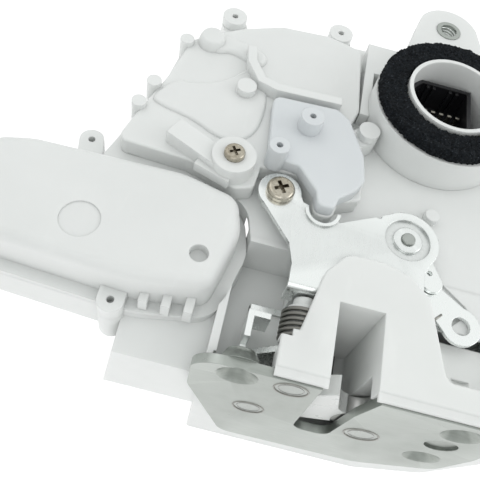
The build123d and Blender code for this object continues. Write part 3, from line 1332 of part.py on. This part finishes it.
with BuildPart() as sector_pin:
    disc_along_z(SECTOR_AXIS, GEAR_PIN_R, CASE_FLOOR + 1.0 + SEAT, COVER_TOP - 5.0 - SEAT)

# Switch that senses the claw, held against the underside of the latch block.
SWITCH_TOP = BODY_LOW - SEAT
with BuildPart() as ajar_switch:
    block((-12.0, 8.0), (10.0, 18.0), (SWITCH_TOP - 9.0, SWITCH_TOP))
    for leg_x in (-8.0, -2.0, 4.0):
        block((leg_x - 0.8, leg_x + 0.8), (13.5, 14.3), (SWITCH_TOP - 13.0, SWITCH_TOP - 8.0))

pieces = {
    "face_plate": face_plate,
    "latch_body": latch_body,
    "claw": claw,
    "claw_cover": claw_cover,
    "claw_pin": claw_pin,
    "claw_spring": claw_spring,
    "pawl": pawl,
    "pawl_cover": pawl_cover,
    "pawl_pin": pawl_pin,
    "pawl_spring": pawl_spring,
    "spring_bush": spring_bush,
    "pawl_lever": pawl_lever,
    "spacer_rivet": spacer_rivet,
    "bump_stop": bump_stop,
    "back_plate": back_plate,
    "lever_rivet": lever_rivet,
    "rivet_washer": rivet_washer,
    "handle_lever": handle_lever,
    "lock_lever": lock_lever,
    "lever_spring": lever_spring,
    "bracket_screw": bracket_screw,
    "cover_screw": cover_screw,
    "main_case": main_case,
    "latch_box": latch_box,
    "case_collar": case_collar,
    "case_lug": case_lug,
    "motor_cover": motor_cover,
    "lever_cover": lever_cover,
    "gear_lid": gear_lid,
    "foam_ring": foam_ring,
    "connector": connector,
    "connector_pins": connector_pins,
    "threaded_insert": threaded_insert,
    "motor": motor,
    "motor_shaft": motor_shaft,
    "worm": worm,
    "worm_wheel": worm_wheel,
    "wheel_pin": wheel_pin,
    "lock_sector": lock_sector,
    "sector_pin": sector_pin,
    "ajar_switch": ajar_switch,
    "contact_strips": contact_strips,
    "back_cover": back_cover,
    "back_cover_screws": back_cover_screws,
}
for name, piece in pieces.items():
    piece.part.label = name
    export_step(piece.part, f"parts/{name}.step")
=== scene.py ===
import json
from math import cos, pi, radians, sin

import bmesh
import bpy
from mathutils import Matrix, Vector, noise


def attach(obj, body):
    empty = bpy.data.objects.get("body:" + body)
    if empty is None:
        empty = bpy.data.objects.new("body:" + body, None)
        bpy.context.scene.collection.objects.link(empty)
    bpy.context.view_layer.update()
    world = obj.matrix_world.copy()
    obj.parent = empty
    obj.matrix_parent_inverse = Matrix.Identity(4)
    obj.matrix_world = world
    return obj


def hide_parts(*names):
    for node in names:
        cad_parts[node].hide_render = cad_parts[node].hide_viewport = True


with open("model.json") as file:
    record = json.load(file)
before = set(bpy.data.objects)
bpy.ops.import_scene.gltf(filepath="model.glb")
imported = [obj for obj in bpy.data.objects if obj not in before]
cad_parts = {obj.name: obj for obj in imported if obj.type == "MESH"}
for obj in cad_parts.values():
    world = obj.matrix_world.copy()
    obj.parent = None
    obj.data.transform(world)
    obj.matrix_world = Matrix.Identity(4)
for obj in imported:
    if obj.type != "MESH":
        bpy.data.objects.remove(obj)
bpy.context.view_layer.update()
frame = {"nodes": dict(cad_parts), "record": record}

MM = 0.001
nodes = frame["nodes"]

# ---------------------------------------------------------------- places (mm)
CLAW_PIN = (13.4, 1.8)
PAWL_PIN = (-16.0, 27.0)
LEVER_AXIS = (13.2, 57.1)
COLLAR = (22.6, 115.2)
LUG = (23.2, 162.7)
SCREW_PLACES = {
    "upper_left": (-32.1, 27.2),
    "upper_right": (36.8, 24.0),
    "lower_right": (37.1, -6.2),
}
# Each rivet head's centre on the face plate and its radius.
RIVET_HEADS = {
    "claw_rivet": (*CLAW_PIN, 5.65),
    "pawl_rivet": (*PAWL_PIN, 5.05),
    "spacer": (-24.2, 0.8, 5.05),
}
# The planes where the one case moulding is divided into nodes.
CASE_SEAMS = (("X", -42.0), ("Y", 48.0), ("Y", 148.0))
SEAM_REACH = 1.0


# ------------------------------------------------------------------ materials
class Shader:
    """A node tree that is built up step by step round one Principled BSDF."""

    def __init__(self, name, metallic=0.0, specular=0.5):
        self.material = bpy.data.materials.new(name)
        self.material.use_nodes = True
        self.tree = self.material.node_tree
        self.bsdf = self.tree.nodes["Principled BSDF"]
        self.bsdf.inputs["Metallic"].default_value = metallic
        self.bsdf.inputs["Specular IOR Level"].default_value = specular
        self.place = self.tree.nodes.new("ShaderNodeTexCoord").outputs["Object"]

    def node(self, kind, **settings):
        """A new node of a kind, with its settings."""
        made = self.tree.nodes.new(kind)
        for key, value in settings.items():
            setattr(made, key, value)
        return made

    def link(self, source, target):
        self.tree.links.new(source, target)

    def stretched(self, scale):
        """Object coordinates scaled by three numbers."""
        mapping = self.node("ShaderNodeMapping")
        mapping.inputs["Scale"].default_value = scale
        self.link(self.place, mapping.inputs["Vector"])
        return mapping.outputs["Vector"]

    def noise(self, scale, detail=3.0, stretch=(1.0, 1.0, 1.0), rough=0.55):
        """Cloudy noise; stretch below 1 draws it out along that axis."""
        texture = self.node("ShaderNodeTexNoise")
        texture.inputs["Scale"].default_value = scale
        texture.inputs["Detail"].default_value = detail
        texture.inputs["Roughness"].default_value = rough
        self.link(self.stretched(stretch), texture.inputs["Vector"])
        return texture.outputs["Fac"]

    def cells(self, scale):
        """Distance to the nearest of many scattered points."""
        texture = self.node("ShaderNodeTexVoronoi", feature="F1")
        texture.inputs["Scale"].default_value = scale
        self.link(self.place, texture.inputs["Vector"])
        return texture.outputs["Distance"]

    def ramp(self, factor, stops):
        """Colours by factor, from (position, colour) stops."""
        ramp = self.node("ShaderNodeValToRGB")
        elements = ramp.color_ramp.elements
        while len(elements) < len(stops):
            elements.new(0.5)
        for element, (position, colour) in zip(elements, stops):
            element.position = position
            element.color = (*colour, 1.0)
        self.link(factor, ramp.inputs["Fac"])
        return ramp.outputs["Color"]

    def span(self, factor, low, high, start=0.3, end=0.7):
        """Factor between start and end mapped to low and high."""
        mapped = self.node("ShaderNodeMapRange")
        mapped.inputs["From Min"].default_value = start
        mapped.inputs["From Max"].default_value = end
        mapped.inputs["To Min"].default_value = low
        mapped.inputs["To Max"].default_value = high
        self.link(factor, mapped.inputs["Value"])
        return mapped.outputs["Result"]

    def mix(self, factor, first, second):
        """The first colour where the factor is 0, the second where it is 1."""
        mixed = self.node("ShaderNodeMix", data_type="RGBA", blend_type="MIX")
        if isinstance(factor, float):
            mixed.inputs["Factor"].default_value = factor
        else:
            self.link(factor, mixed.inputs["Factor"])
        for socket, value in ((6, first), (7, second)):
            if isinstance(value, tuple):
                mixed.inputs[socket].default_value = (*value, 1.0)
            else:
                self.link(value, mixed.inputs[socket])
        return mixed.outputs[2]

    def edge_wear(self, low=0.52, high=0.6):
        """0 on flats, 1 along outer edges."""
        geometry = self.node("ShaderNodeNewGeometry")
        return self.span(geometry.outputs["Pointiness"], 0.0, 1.0, low, high)

    def painted_recess_shade(self, reach):
        """Painted shade: 1 in corners and recesses, 0 in the open."""
        occlusion = self.node("ShaderNodeAmbientOcclusion", samples=8)
        occlusion.inputs["Distance"].default_value = reach
        return self.span(occlusion.outputs["AO"], 1.0, 0.0, 0.35, 0.95)

    def unrounded(self, normal, seams):
        """The plain normal close to each (axis, place in mm) plane, the given one elsewhere."""
        place = self.node("ShaderNodeSeparateXYZ")
        self.link(self.place, place.inputs["Vector"])
        plain = self.node("ShaderNodeNewGeometry").outputs["Normal"]
        for axis, seam in seams:
            near = self.node("ShaderNodeMath", operation="COMPARE")
            self.link(place.outputs[axis], near.inputs[0])
            near.inputs[1].default_value = seam * MM
            near.inputs[2].default_value = SEAM_REACH * MM
            chosen = self.node("ShaderNodeMix", data_type="VECTOR")
            self.link(near.outputs["Value"], chosen.inputs["Factor"])
            self.link(normal, chosen.inputs[4])
            self.link(plain, chosen.inputs[5])
            normal = chosen.outputs[1]
        return normal

    def finish(self, colour, roughness, bumps, edge_radius=0.35, seams=()):
        """Joins the colour, the roughness and (height, depth in mm) bumps."""
        self.link(colour, self.bsdf.inputs["Base Color"])
        self.link(roughness, self.bsdf.inputs["Roughness"])
        bevel = self.node("ShaderNodeBevel", samples=6)
        bevel.inputs["Radius"].default_value = edge_radius * MM
        normal = self.unrounded(bevel.outputs["Normal"], seams)
        for height, depth in bumps:
            bump = self.node("ShaderNodeBump")
            bump.inputs["Distance"].default_value = depth * MM
            self.link(height, bump.inputs["Height"])
            self.link(normal, bump.inputs["Normal"])
            normal = bump.outputs["Normal"]
        self.link(normal, self.bsdf.inputs["Normal"])
        return self.material


def moulded_plastic(name, colour, shade, rough=0.42, glow=0.2, seams=()):
    """Satin moulded plastic: cloudy colour, eroded grain, painted shade in the corners."""
    made = Shader(name, specular=0.45)
    cloud = made.noise(28.0, 4.0)
    base = made.ramp(cloud, [(0.3, shade), (0.7, colour)])
    # painted shade: the colour darkens in corners and recesses, by ambient occlusion
    base = made.mix(made.painted_recess_shade(5.0 * MM), base, tuple(0.9 * part for part in shade))
    scuffs = made.span(made.noise(240.0, 6.0, (1.0, 0.25, 1.0)), 0.0, 0.35, 0.62, 0.75)
    base = made.mix(scuffs, base, tuple(min(1.0, 1.04 * part) for part in colour))
    grain = made.noise(2600.0, 2.0)
    flow = made.noise(45.0, 5.0)
    roughness = made.span(made.noise(130.0, 5.0), rough - 0.07, rough + 0.1)
    made.bsdf.inputs["Subsurface Weight"].default_value = glow
    made.bsdf.inputs["Subsurface Radius"].default_value = (0.004, 0.004, 0.004)
    made.bsdf.inputs["Subsurface Scale"].default_value = 0.6
    return made.finish(base, roughness, [(flow, 0.12), (grain, 0.012)], 0.45, seams)


def plated_steel(name, bright, dull, rough=0.3, lay=(1.0, 1.0, 1.0)):
    """Zinc plated sheet: rolled grain, blotches, fine scratches and bright edges."""
    made = Shader(name, metallic=1.0)
    blotch = made.noise(70.0, 5.0)
    rolled = made.noise(900.0, 4.0, lay)
    tone = made.mix(0.45, blotch, rolled)
    base = made.ramp(tone, [(0.36, dull), (0.64, bright)])
    scratch = made.span(made.noise(420.0, 8.0, (0.12, 1.0, 1.0), 0.7), 0.0, 0.55, 0.64, 0.72)
    base = made.mix(scratch, base, tuple(min(1.0, 1.06 * part) for part in bright))
    # painted shade: much darker in corners, recesses and narrow gaps, by ambient occlusion
    base = made.mix(made.painted_recess_shade(2.5 * MM), base, tuple(0.6 * part for part in dull))
    base = made.mix(made.edge_wear(), base, tuple(min(1.0, 1.1 * part) for part in bright))
    roughness = made.span(made.mix(0.5, made.noise(55.0, 4.0), rolled), rough - 0.1, rough + 0.14)
    return made.finish(base, roughness, [(blotch, 0.03), (rolled, 0.006), (scratch, 0.01)], 0.3)


def dark_steel(name, colour, worn, rough=0.38):
    """Oiled dark steel that is rubbed bright along its edges."""
    made = Shader(name, metallic=1.0)
    blotch = made.noise(160.0, 5.0)
    base = made.ramp(blotch, [(0.35, colour), (0.7, tuple(1.7 * part for part in colour))])
    base = made.mix(made.edge_wear(0.5, 0.6), base, worn)
    roughness = made.span(made.noise(300.0, 4.0), rough - 0.12, rough + 0.14)
    return made.finish(base, roughness, [(made.noise(700.0, 3.0), 0.02)], 0.2)


def open_foam(name):
    """Charcoal foam with open cells and pale specks."""
    made = Shader(name, specular=0.2)
    pores = made.cells(1100.0)
    big_pores = made.cells(480.0)
    specks = made.span(made.noise(1900.0, 2.0), 0.0, 1.0, 0.62, 0.7)
    base = made.ramp(pores, [(0.1, (0.002, 0.0025, 0.003)), (0.7, (0.0085, 0.011, 0.014))])
    base = made.mix(specks, base, (0.05, 0.058, 0.068))
    roughness = made.span(made.noise(500.0), 0.8, 0.98)
    return made.finish(base, roughness, [(big_pores, 0.7), (pores, 0.45)], 0.3)


def smooth_rubber(name, colour, rough):
    """Moulded black plastic or rubber with faint sheen lines."""
    made = Shader(name, specular=0.4)
    base = made.ramp(made.noise(90.0, 4.0), [(0.3, colour), (0.7, tuple(2.0 * part for part in colour))])
    base = made.mix(made.edge_wear(), base, tuple(4.0 * part for part in colour))
    roughness = made.span(made.noise(200.0, 4.0), rough - 0.1, rough + 0.1)
    return made.finish(base, roughness, [(made.noise(1500.0, 2.0), 0.02)], 0.25)


materials = {
    "plate_zinc": plated_steel(
        "plate_zinc", (0.43, 0.455, 0.43), (0.31, 0.33, 0.305), 0.34, lay=(0.15, 1.0, 1.0)
    ),
    "bright_zinc": plated_steel(
        "bright_zinc", (0.84, 0.86, 0.85), (0.79, 0.81, 0.80), 0.27, lay=(1.0, 0.2, 1.0)
    ),
    "pin_steel": plated_steel("pin_steel", (0.43, 0.45, 0.43), (0.32, 0.34, 0.315), 0.3),
    "claw_steel": plated_steel("claw_steel", (0.50, 0.50, 0.49), (0.34, 0.34, 0.33), 0.34),
    "spring_steel": dark_steel("spring_steel", (0.078, 0.076, 0.068), (0.38, 0.375, 0.35)),
    "screw_nickel": plated_steel("screw_nickel", (0.60, 0.56, 0.48), (0.36, 0.32, 0.25), 0.24),
    "white_case": moulded_plastic(
        "white_case", (0.82, 0.83, 0.822), (0.785, 0.797, 0.788), glow=0.3, seams=CASE_SEAMS
    ),
    "white_latch": moulded_plastic(
        "white_latch", (0.84, 0.852, 0.84), (0.80, 0.812, 0.80), 0.36, glow=0.45
    ),
    "white_jacket": moulded_plastic("white_jacket", (0.82, 0.835, 0.82), (0.77, 0.785, 0.77), 0.3),
    "lid_plastic": moulded_plastic("lid_plastic", (0.72, 0.745, 0.762), (0.68, 0.705, 0.725), 0.38),
    "gear_plastic": moulded_plastic("gear_plastic", (0.78, 0.76, 0.68), (0.70, 0.68, 0.60), 0.4),
    "black_plastic": smooth_rubber("black_plastic", (0.006, 0.006, 0.007), 0.4),
    "foam": open_foam("foam"),
    "rubber_stop": smooth_rubber("rubber_stop", (0.01, 0.01, 0.01), 0.65),
    "contact_brass": plated_steel("contact_brass", (0.30, 0.285, 0.25), (0.20, 0.19, 0.16), 0.34),
    "motor_can": plated_steel("motor_can", (0.6, 0.61, 0.6), (0.46, 0.47, 0.46), 0.3),
}

slot_of_node = {part["node"]: part["material_slot"] for part in frame["record"]["subparts"]}
for name, cad_object in nodes.items():
    cad_object.data.materials.clear()
    cad_object.data.materials.append(materials[slot_of_node[name]])


# --------------------------------------------------------------- mesh helpers
def mesh_object(name, vertices, faces, slot, body):
    """A piece from lists of points in millimetres and faces."""
    mesh = bpy.data.meshes.new(name)
    mesh.from_pydata([Vector(point) * MM for point in vertices], [], faces)
    mesh.validate()
    made = bpy.data.objects.new(name, mesh)
    bpy.context.scene.collection.objects.link(made)
    tidy = bmesh.new()
    tidy.from_mesh(mesh)
    bmesh.ops.recalc_face_normals(tidy, faces=tidy.faces)
    tidy.to_mesh(mesh)
    tidy.free()
    for face in mesh.polygons:
        face.use_smooth = True
    mesh.materials.append(materials[slot])
    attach(made, body)
    return made


def tube(name, path, radius, slot, body, sides=12):
    """A round wire along a path of points, closed at both ends."""
    points = [Vector(point) for point in path]
    vertices = []
    faces = []
    side = None
    for index, point in enumerate(points):
        ahead = points[min(index + 1, len(points) - 1)]
        behind = points[max(index - 1, 0)]
        along = (ahead - behind).normalized()
        if side is None:
            side = along.orthogonal().normalized()
        side = (side - along * side.dot(along)).normalized()
        other = along.cross(side)
        for step in range(sides):
            turn = 2 * pi * step / sides
            vertices.append(point + radius * (cos(turn) * side + sin(turn) * other))
    for ring in range(len(points) - 1):
        for step in range(sides):
            following = (step + 1) % sides
            first = ring * sides
            faces.append((first + step, first + following, first + sides + following, first + sides + step))
    faces.append(tuple(range(sides)))
    faces.append(tuple(range(len(vertices) - sides, len(vertices))))
    return mesh_object(name, vertices, faces, slot, body)


def helix(radius, start, turns, pitch, steps=36):
    """Points (across, across, along) of an even coil."""
    points = []
    for step in range(round(turns * steps) + 1):
        angle = 2 * pi * step / steps
        points.append((radius * cos(angle), radius * sin(angle), start + pitch * step / steps))
    return points


def on_pin(centre, coil):
    """A coil's points put round an axis along +Y at a place on the face plate."""
    return [(centre[0] + x, along, centre[1] + z) for x, z, along in coil]


def softened(outline, rounds=3):
    """A closed outline with its corners cut again and again, which rounds them."""
    points = [Vector(point) for point in outline]
    for _ in range(rounds):
        cut = []
        for index, point in enumerate(points):
            following = points[(index + 1) % len(points)]
            cut.append(0.75 * point + 0.25 * following)
            cut.append(0.25 * point + 0.75 * following)
        points = cut
    return points


def pad(name, outline, low, high, slope, slot="white_case", body="case_body", rings=8):
    """A raised pad with a soft outline (anticlockwise) and sides that lean in."""
    points = softened(outline)
    count = len(points)
    vertices = []
    for ring in range(rings + 1):
        share = ring / rings
        inset = slope * (1 - cos(share * pi / 2))
        height = low + (high - low) * sin(share * pi / 2)
        for index, point in enumerate(points):
            along = (points[(index + 1) % count] - points[index - 1]).normalized()
            vertices.append((point[0] - along[1] * inset, point[1] + along[0] * inset, height))
    faces = [tuple(reversed(range(count)))]
    for ring in range(rings):
        for step in range(count):
            following = (step + 1) % count
            first = ring * count
            faces.append((first + step, first + following, first + count + following, first + count + step))
    faces.append(tuple(range(rings * count, (rings + 1) * count)))
    return mesh_object(name, vertices, faces, slot, body)


def ring_outline(centre, radius, corners=12):
    """Corner points of a regular polygon round a centre."""
    turns = [2 * pi * corner / corners for corner in range(corners)]
    return [(centre[0] + radius * cos(turn), centre[1] + radius * sin(turn)) for turn in turns]


# ------------------------------------------------- soft relief of the mouldings
COVER_TOP = 33.0
plateau_outline = [
    (-77.0, 99.5),
    (-83.0, 88.0),
    (-78.7, 85.5),
    (-66.1, 83.0),
    (-56.6, 77.8),
    (-49.0, 78.0),
    (-42.8, 85.6),
    (-42.5, 103.9),
    (-49.5, 114.4),
    (-52.5, 114.4),
    (-60.0, 104.0),
    (-70.2, 99.5),
]
pad("cover_plateau", plateau_outline, COVER_TOP - 0.4, COVER_TOP + 1.1, 1.4)
hub_arm_outline = [
    (-70.0, 120.0),
    (-66.0, 117.0),
    (-60.0, 120.0),
    (-49.0, 115.0),
    (-45.5, 120.0),
    (-49.0, 125.0),
    (-60.0, 127.0),
    (-69.0, 128.0),
]
pad("cover_hub_arm", hub_arm_outline, COVER_TOP - 0.4, COVER_TOP + 1.8, 2.0)
pad("cover_hub", ring_outline((-68.4, 122.6), 6.0), COVER_TOP - 6.5, COVER_TOP + 4.0, 2.2)

# --------------------------------------------------------------- coil springs
PAWL_COIL_R = 6.9          # to the outside of the wire
PAWL_WIRE_R = 0.65
PAWL_COIL_FRONT = 13.6
PAWL_COIL_TURNS = 6
PAWL_COIL_PITCH = 1.68
pawl_start = PAWL_COIL_FRONT + PAWL_WIRE_R
pawl_turns = helix(PAWL_COIL_R - PAWL_WIRE_R, pawl_start, PAWL_COIL_TURNS, PAWL_COIL_PITCH)
pawl_coil = tube("pawl_coil", on_pin(PAWL_PIN, pawl_turns), PAWL_WIRE_R, "spring_steel", "case_body")
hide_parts("pawl_spring")

CLAW_COIL_R = 5.1
CLAW_WIRE_R = 0.55
CLAW_COIL_FRONT = 11.1
CLAW_COIL_TURNS = 4
CLAW_COIL_PITCH = 1.2
claw_turns = helix(CLAW_COIL_R, CLAW_COIL_FRONT, CLAW_COIL_TURNS, CLAW_COIL_PITCH)
claw_coil = tube("claw_coil", on_pin(CLAW_PIN, claw_turns), CLAW_WIRE_R, "spring_steel", "case_body")
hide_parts("claw_spring")

# The handle lever's spring: a coil, a straight leg under the lever and a hook over its edge.
LEVER_WIRE = 0.42
COIL_R = 4.4
COIL_LOW = 21.5
COIL_PITCH = 0.98
COIL_TURNS = 4.25
LEG_Z = 25.9
HOOK = (24.9, 33.4)
HOOK_TOP = 28.35
HOOK_REACH = 3.4
HOOK_ANGLE = radians(41.5)
coil = helix(COIL_R, COIL_LOW, COIL_TURNS, COIL_PITCH)
lever_path = [(LEVER_AXIS[0] + x, LEVER_AXIS[1] - y, z) for x, y, z in coil]
lever_path.append((LEVER_AXIS[0] + 1.5, LEVER_AXIS[1] - COIL_R, LEG_Z - 0.1))
lever_path.append((*HOOK, LEG_Z))
lever_path.append((HOOK[0] - 0.1, HOOK[1] - 0.35, LEG_Z + 0.5))
lever_path.append((HOOK[0] - 0.1, HOOK[1] - 0.35, HOOK_TOP - 0.4))
lever_path.append((HOOK[0] + 0.4, HOOK[1], HOOK_TOP))
hook_end = (HOOK[0] + HOOK_REACH * cos(HOOK_ANGLE), HOOK[1] + HOOK_REACH * sin(HOOK_ANGLE), HOOK_TOP)
lever_path.append(hook_end)
lever_wire = tube("lever_wire", lever_path, LEVER_WIRE, "spring_steel", "handle_body", 10)
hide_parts("lever_spring")

# ------------------------------------ painted shadow ring round the rivet heads and painted shade line on their inner step
SHADOW_RING_WIRE_R = 0.26
STEP_SHADE_WIRE_R = 0.12
STEP_SHADE_SHARE = 0.74          # the painted step shade line's radius as a share of the head's
RING_STEPS = 72
for head_name, (head_x, head_z, head_r) in RIVET_HEADS.items():
    # painted shadow: a dark wire ring laid on the plate round each head, and a thin painted shade line
    # inside it
    painted_shadow_ring = on_pin((head_x, head_z), helix(head_r, 0.0, 1.0, 0.0, RING_STEPS))
    tube(f"{head_name}_edge", painted_shadow_ring, SHADOW_RING_WIRE_R, "spring_steel", "case_body", 6)
    painted_step_shade = on_pin((head_x, head_z), helix(STEP_SHADE_SHARE * head_r, 0.0, 1.0, 0.0, RING_STEPS))
    tube(f"{head_name}_step", painted_step_shade, STEP_SHADE_WIRE_R, "claw_steel", "case_body", 6)

# --------------------------------------------------------------- screw threads
INSERT_BORE_R = 3.4
INSERT_RIDGE = 0.28
INSERT_LOW = 28.3
INSERT_TURNS = 6
INSERT_PITCH = 1.25
turns = helix(INSERT_BORE_R, INSERT_LOW, INSERT_TURNS, INSERT_PITCH)
insert_path = [(LUG[0] + x, LUG[1] + y, z) for x, y, z in turns]
tube("insert_thread", insert_path, INSERT_RIDGE, "bright_zinc", "case_body", 8)

PLATE_BORE_R = 2.5
PLATE_RIDGE = 0.2
PLATE_THREAD_FRONT = 4.6
PLATE_THREAD_TURNS = 2.6
PLATE_THREAD_PITCH = 1.0
for place_name, place in SCREW_PLACES.items():
    turns = helix(PLATE_BORE_R, PLATE_THREAD_FRONT, PLATE_THREAD_TURNS, PLATE_THREAD_PITCH)
    tube(f"thread_{place_name}", on_pin(place, turns), PLATE_RIDGE, "plate_zinc", "case_body", 8)

# ------------------------------------------------------------------ foam ring
FOAM_IN = 17.85
FOAM_OUT = 27.7
FOAM_LOW = 40.7
FOAM_HIGH = 45.7
FOAM_CORNER = 1.3
FOAM_GRID = 0.5            # spacing of the points along the section
FOAM_AROUND = 300
FOAM_SINK = 0.1
# (reach in mm, scale) of the torn cells, the slow waves and the fine waves.
TORN_CELLS = (0.38, 1.6)
SLOW_WAVES = (0.24, 0.55)
FINE_WAVES = (0.3, 1.7)


def foam_section():
    """Round-cornered section of the ring as (radius, height) points."""
    section = []
    corners = [
        (FOAM_OUT - FOAM_CORNER, FOAM_HIGH - FOAM_CORNER, 0),
        (FOAM_IN + FOAM_CORNER, FOAM_HIGH - FOAM_CORNER, 90),
        (FOAM_IN + FOAM_CORNER, FOAM_LOW + FOAM_CORNER, 180),
        (FOAM_OUT - FOAM_CORNER, FOAM_LOW + FOAM_CORNER, 270),
    ]
    for across, height, start in corners:
        for step in range(5):
            angle = radians(start + 22.5 * step)
            section.append((across + FOAM_CORNER * cos(angle), height + FOAM_CORNER * sin(angle)))
    filled = []
    for index, point in enumerate(section):
        following = section[(index + 1) % len(section)]
        length = ((point[0] - following[0]) ** 2 + (point[1] - following[1]) ** 2) ** 0.5
        pieces = max(1, round(length / FOAM_GRID))
        for piece in range(pieces):
            share = piece / pieces
            filled.append(
                (point[0] + share * (following[0] - point[0]), point[1] + share * (following[1] - point[1]))
            )
    return filled


section = foam_section()
foam_points = []
foam_faces = []
middle_r = (FOAM_IN + FOAM_OUT) / 2
middle_z = (FOAM_LOW + FOAM_HIGH) / 2
for turn in range(FOAM_AROUND):
    angle = 2 * pi * turn / FOAM_AROUND
    for across, height in section:
        spot = Vector((across * cos(angle), across * sin(angle), height))
        rough = TORN_CELLS[0] * (noise.cell(spot * TORN_CELLS[1]) - 0.5)
        for reach, scale in (SLOW_WAVES, FINE_WAVES):
            rough += reach * noise.noise(spot * scale)
        out = Vector((across - middle_r, height - middle_z)).normalized() * rough
        grown = across + out[0]
        foam_x = COLLAR[0] + grown * cos(angle)
        foam_y = COLLAR[1] + grown * sin(angle)
        foam_points.append((foam_x, foam_y, height + out[1] - FOAM_SINK))
count = len(section)
for turn in range(FOAM_AROUND):
    for step in range(count):
        following = (step + 1) % count
        first = turn * count
        second = ((turn + 1) % FOAM_AROUND) * count
        foam_faces.append((first + step, first + following, second + following, second + step))
foam_seal = mesh_object("foam_seal", foam_points, foam_faces, "foam", "case_body")
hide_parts("foam_ring")

# ---------------------------------------------------------------- studio
FLOOR_Z = -54.0
FLOOR_HALF = 3000.0
FLOOR_GLOW = 0.82
FLOOR_GREY = (0.36, 0.36, 0.36, 1.0)
SKY_COLOUR = (0.96, 0.985, 0.975, 1.0)
SKY_STRENGTH = 0.74
LAMP_AIM = (-10, 60, 0)
# Name, place, width and power of each lamp.
LAMPS = [
    ("key", (-380, 330, 520), 420, 0.3),
    ("side_key", (600, 120, 400), 420, 0.85),
    ("veil", (20, 400, 640), 900, 0.55),
    ("front_fill", (-80, -380, 560), 460, 0.5),
]
CAMERA_PLACE = (-46.64, -58.12, 195.45)
CAMERA_RIGHT = (0.967, 0.2, 0.158)
CAMERA_BACK = (-0.032, -0.52, 0.854)
SENSOR_WIDTH = 36.0
LENS_LENGTH = 45.75


def floor_material():
    """White floor that glows a little, so that only shadows mark it."""
    made = bpy.data.materials.new("studio_floor")
    made.use_nodes = True
    tree = made.node_tree
    tree.nodes.clear()
    glow = tree.nodes.new("ShaderNodeEmission")
    glow.inputs["Strength"].default_value = FLOOR_GLOW
    diffuse = tree.nodes.new("ShaderNodeBsdfDiffuse")
    diffuse.inputs["Color"].default_value = FLOOR_GREY
    both = tree.nodes.new("ShaderNodeAddShader")
    output = tree.nodes.new("ShaderNodeOutputMaterial")
    tree.links.new(glow.outputs[0], both.inputs[0])
    tree.links.new(diffuse.outputs[0], both.inputs[1])
    tree.links.new(both.outputs[0], output.inputs["Surface"])
    return made


floor_mesh = bpy.data.meshes.new("studio_floor")
floor_corners = [
    (-FLOOR_HALF, -FLOOR_HALF),
    (FLOOR_HALF, -FLOOR_HALF),
    (FLOOR_HALF, FLOOR_HALF),
    (-FLOOR_HALF, FLOOR_HALF),
]
floor_mesh.from_pydata([Vector((*corner, FLOOR_Z)) * MM for corner in floor_corners], [], [(0, 1, 2, 3)])
floor = bpy.data.objects.new("studio_floor", floor_mesh)
bpy.context.scene.collection.objects.link(floor)
floor_mesh.materials.append(floor_material())

world = bpy.data.worlds.new("studio")
bpy.context.scene.world = world
world.use_nodes = True
tree = world.node_tree
tree.nodes.clear()
soft = tree.nodes.new("ShaderNodeBackground")
soft.inputs["Color"].default_value = SKY_COLOUR
soft.inputs["Strength"].default_value = SKY_STRENGTH
white = tree.nodes.new("ShaderNodeBackground")
white.inputs["Color"].default_value = (1.0, 1.0, 1.0, 1.0)
path = tree.nodes.new("ShaderNodeLightPath")
choose = tree.nodes.new("ShaderNodeMixShader")
output = tree.nodes.new("ShaderNodeOutputWorld")
tree.links.new(path.outputs["Is Camera Ray"], choose.inputs["Fac"])
tree.links.new(soft.outputs[0], choose.inputs[1])
tree.links.new(white.outputs[0], choose.inputs[2])
tree.links.new(choose.outputs[0], output.inputs["Surface"])


def soft_box(name, place, aim, size, power):
    """A large square light in millimetres that points at a spot."""
    lamp = bpy.data.lights.new(name, "AREA")
    lamp.shape = "SQUARE"
    lamp.size = size * MM
    lamp.energy = power
    made = bpy.data.objects.new(name, lamp)
    made.location = Vector(place) * MM
    direction = (Vector(aim) - Vector(place)).normalized()
    made.rotation_euler = direction.to_track_quat("-Z", "Y").to_euler()
    bpy.context.scene.collection.objects.link(made)


for lamp_name, place, size, power in LAMPS:
    soft_box(lamp_name, place, LAMP_AIM, size, power)

# ----------------------------------------------------------------- the camera
camera_data = bpy.data.cameras.new("camera")
camera_data.sensor_width = SENSOR_WIDTH
camera_data.lens = LENS_LENGTH
camera_data.clip_start = 0.01
camera = bpy.data.objects.new("camera", camera_data)
bpy.context.scene.collection.objects.link(camera)
back = Vector(CAMERA_BACK).normalized()
right = Vector(CAMERA_RIGHT)
right = (right - back * right.dot(back)).normalized()
up = back.cross(right)
turned = Matrix((right, up, back)).transposed().to_4x4()
camera.matrix_world = Matrix.Translation(Vector(CAMERA_PLACE) * MM) @ turned
bpy.context.scene.camera = camera
bpy.context.scene.view_settings.view_transform = "Standard"
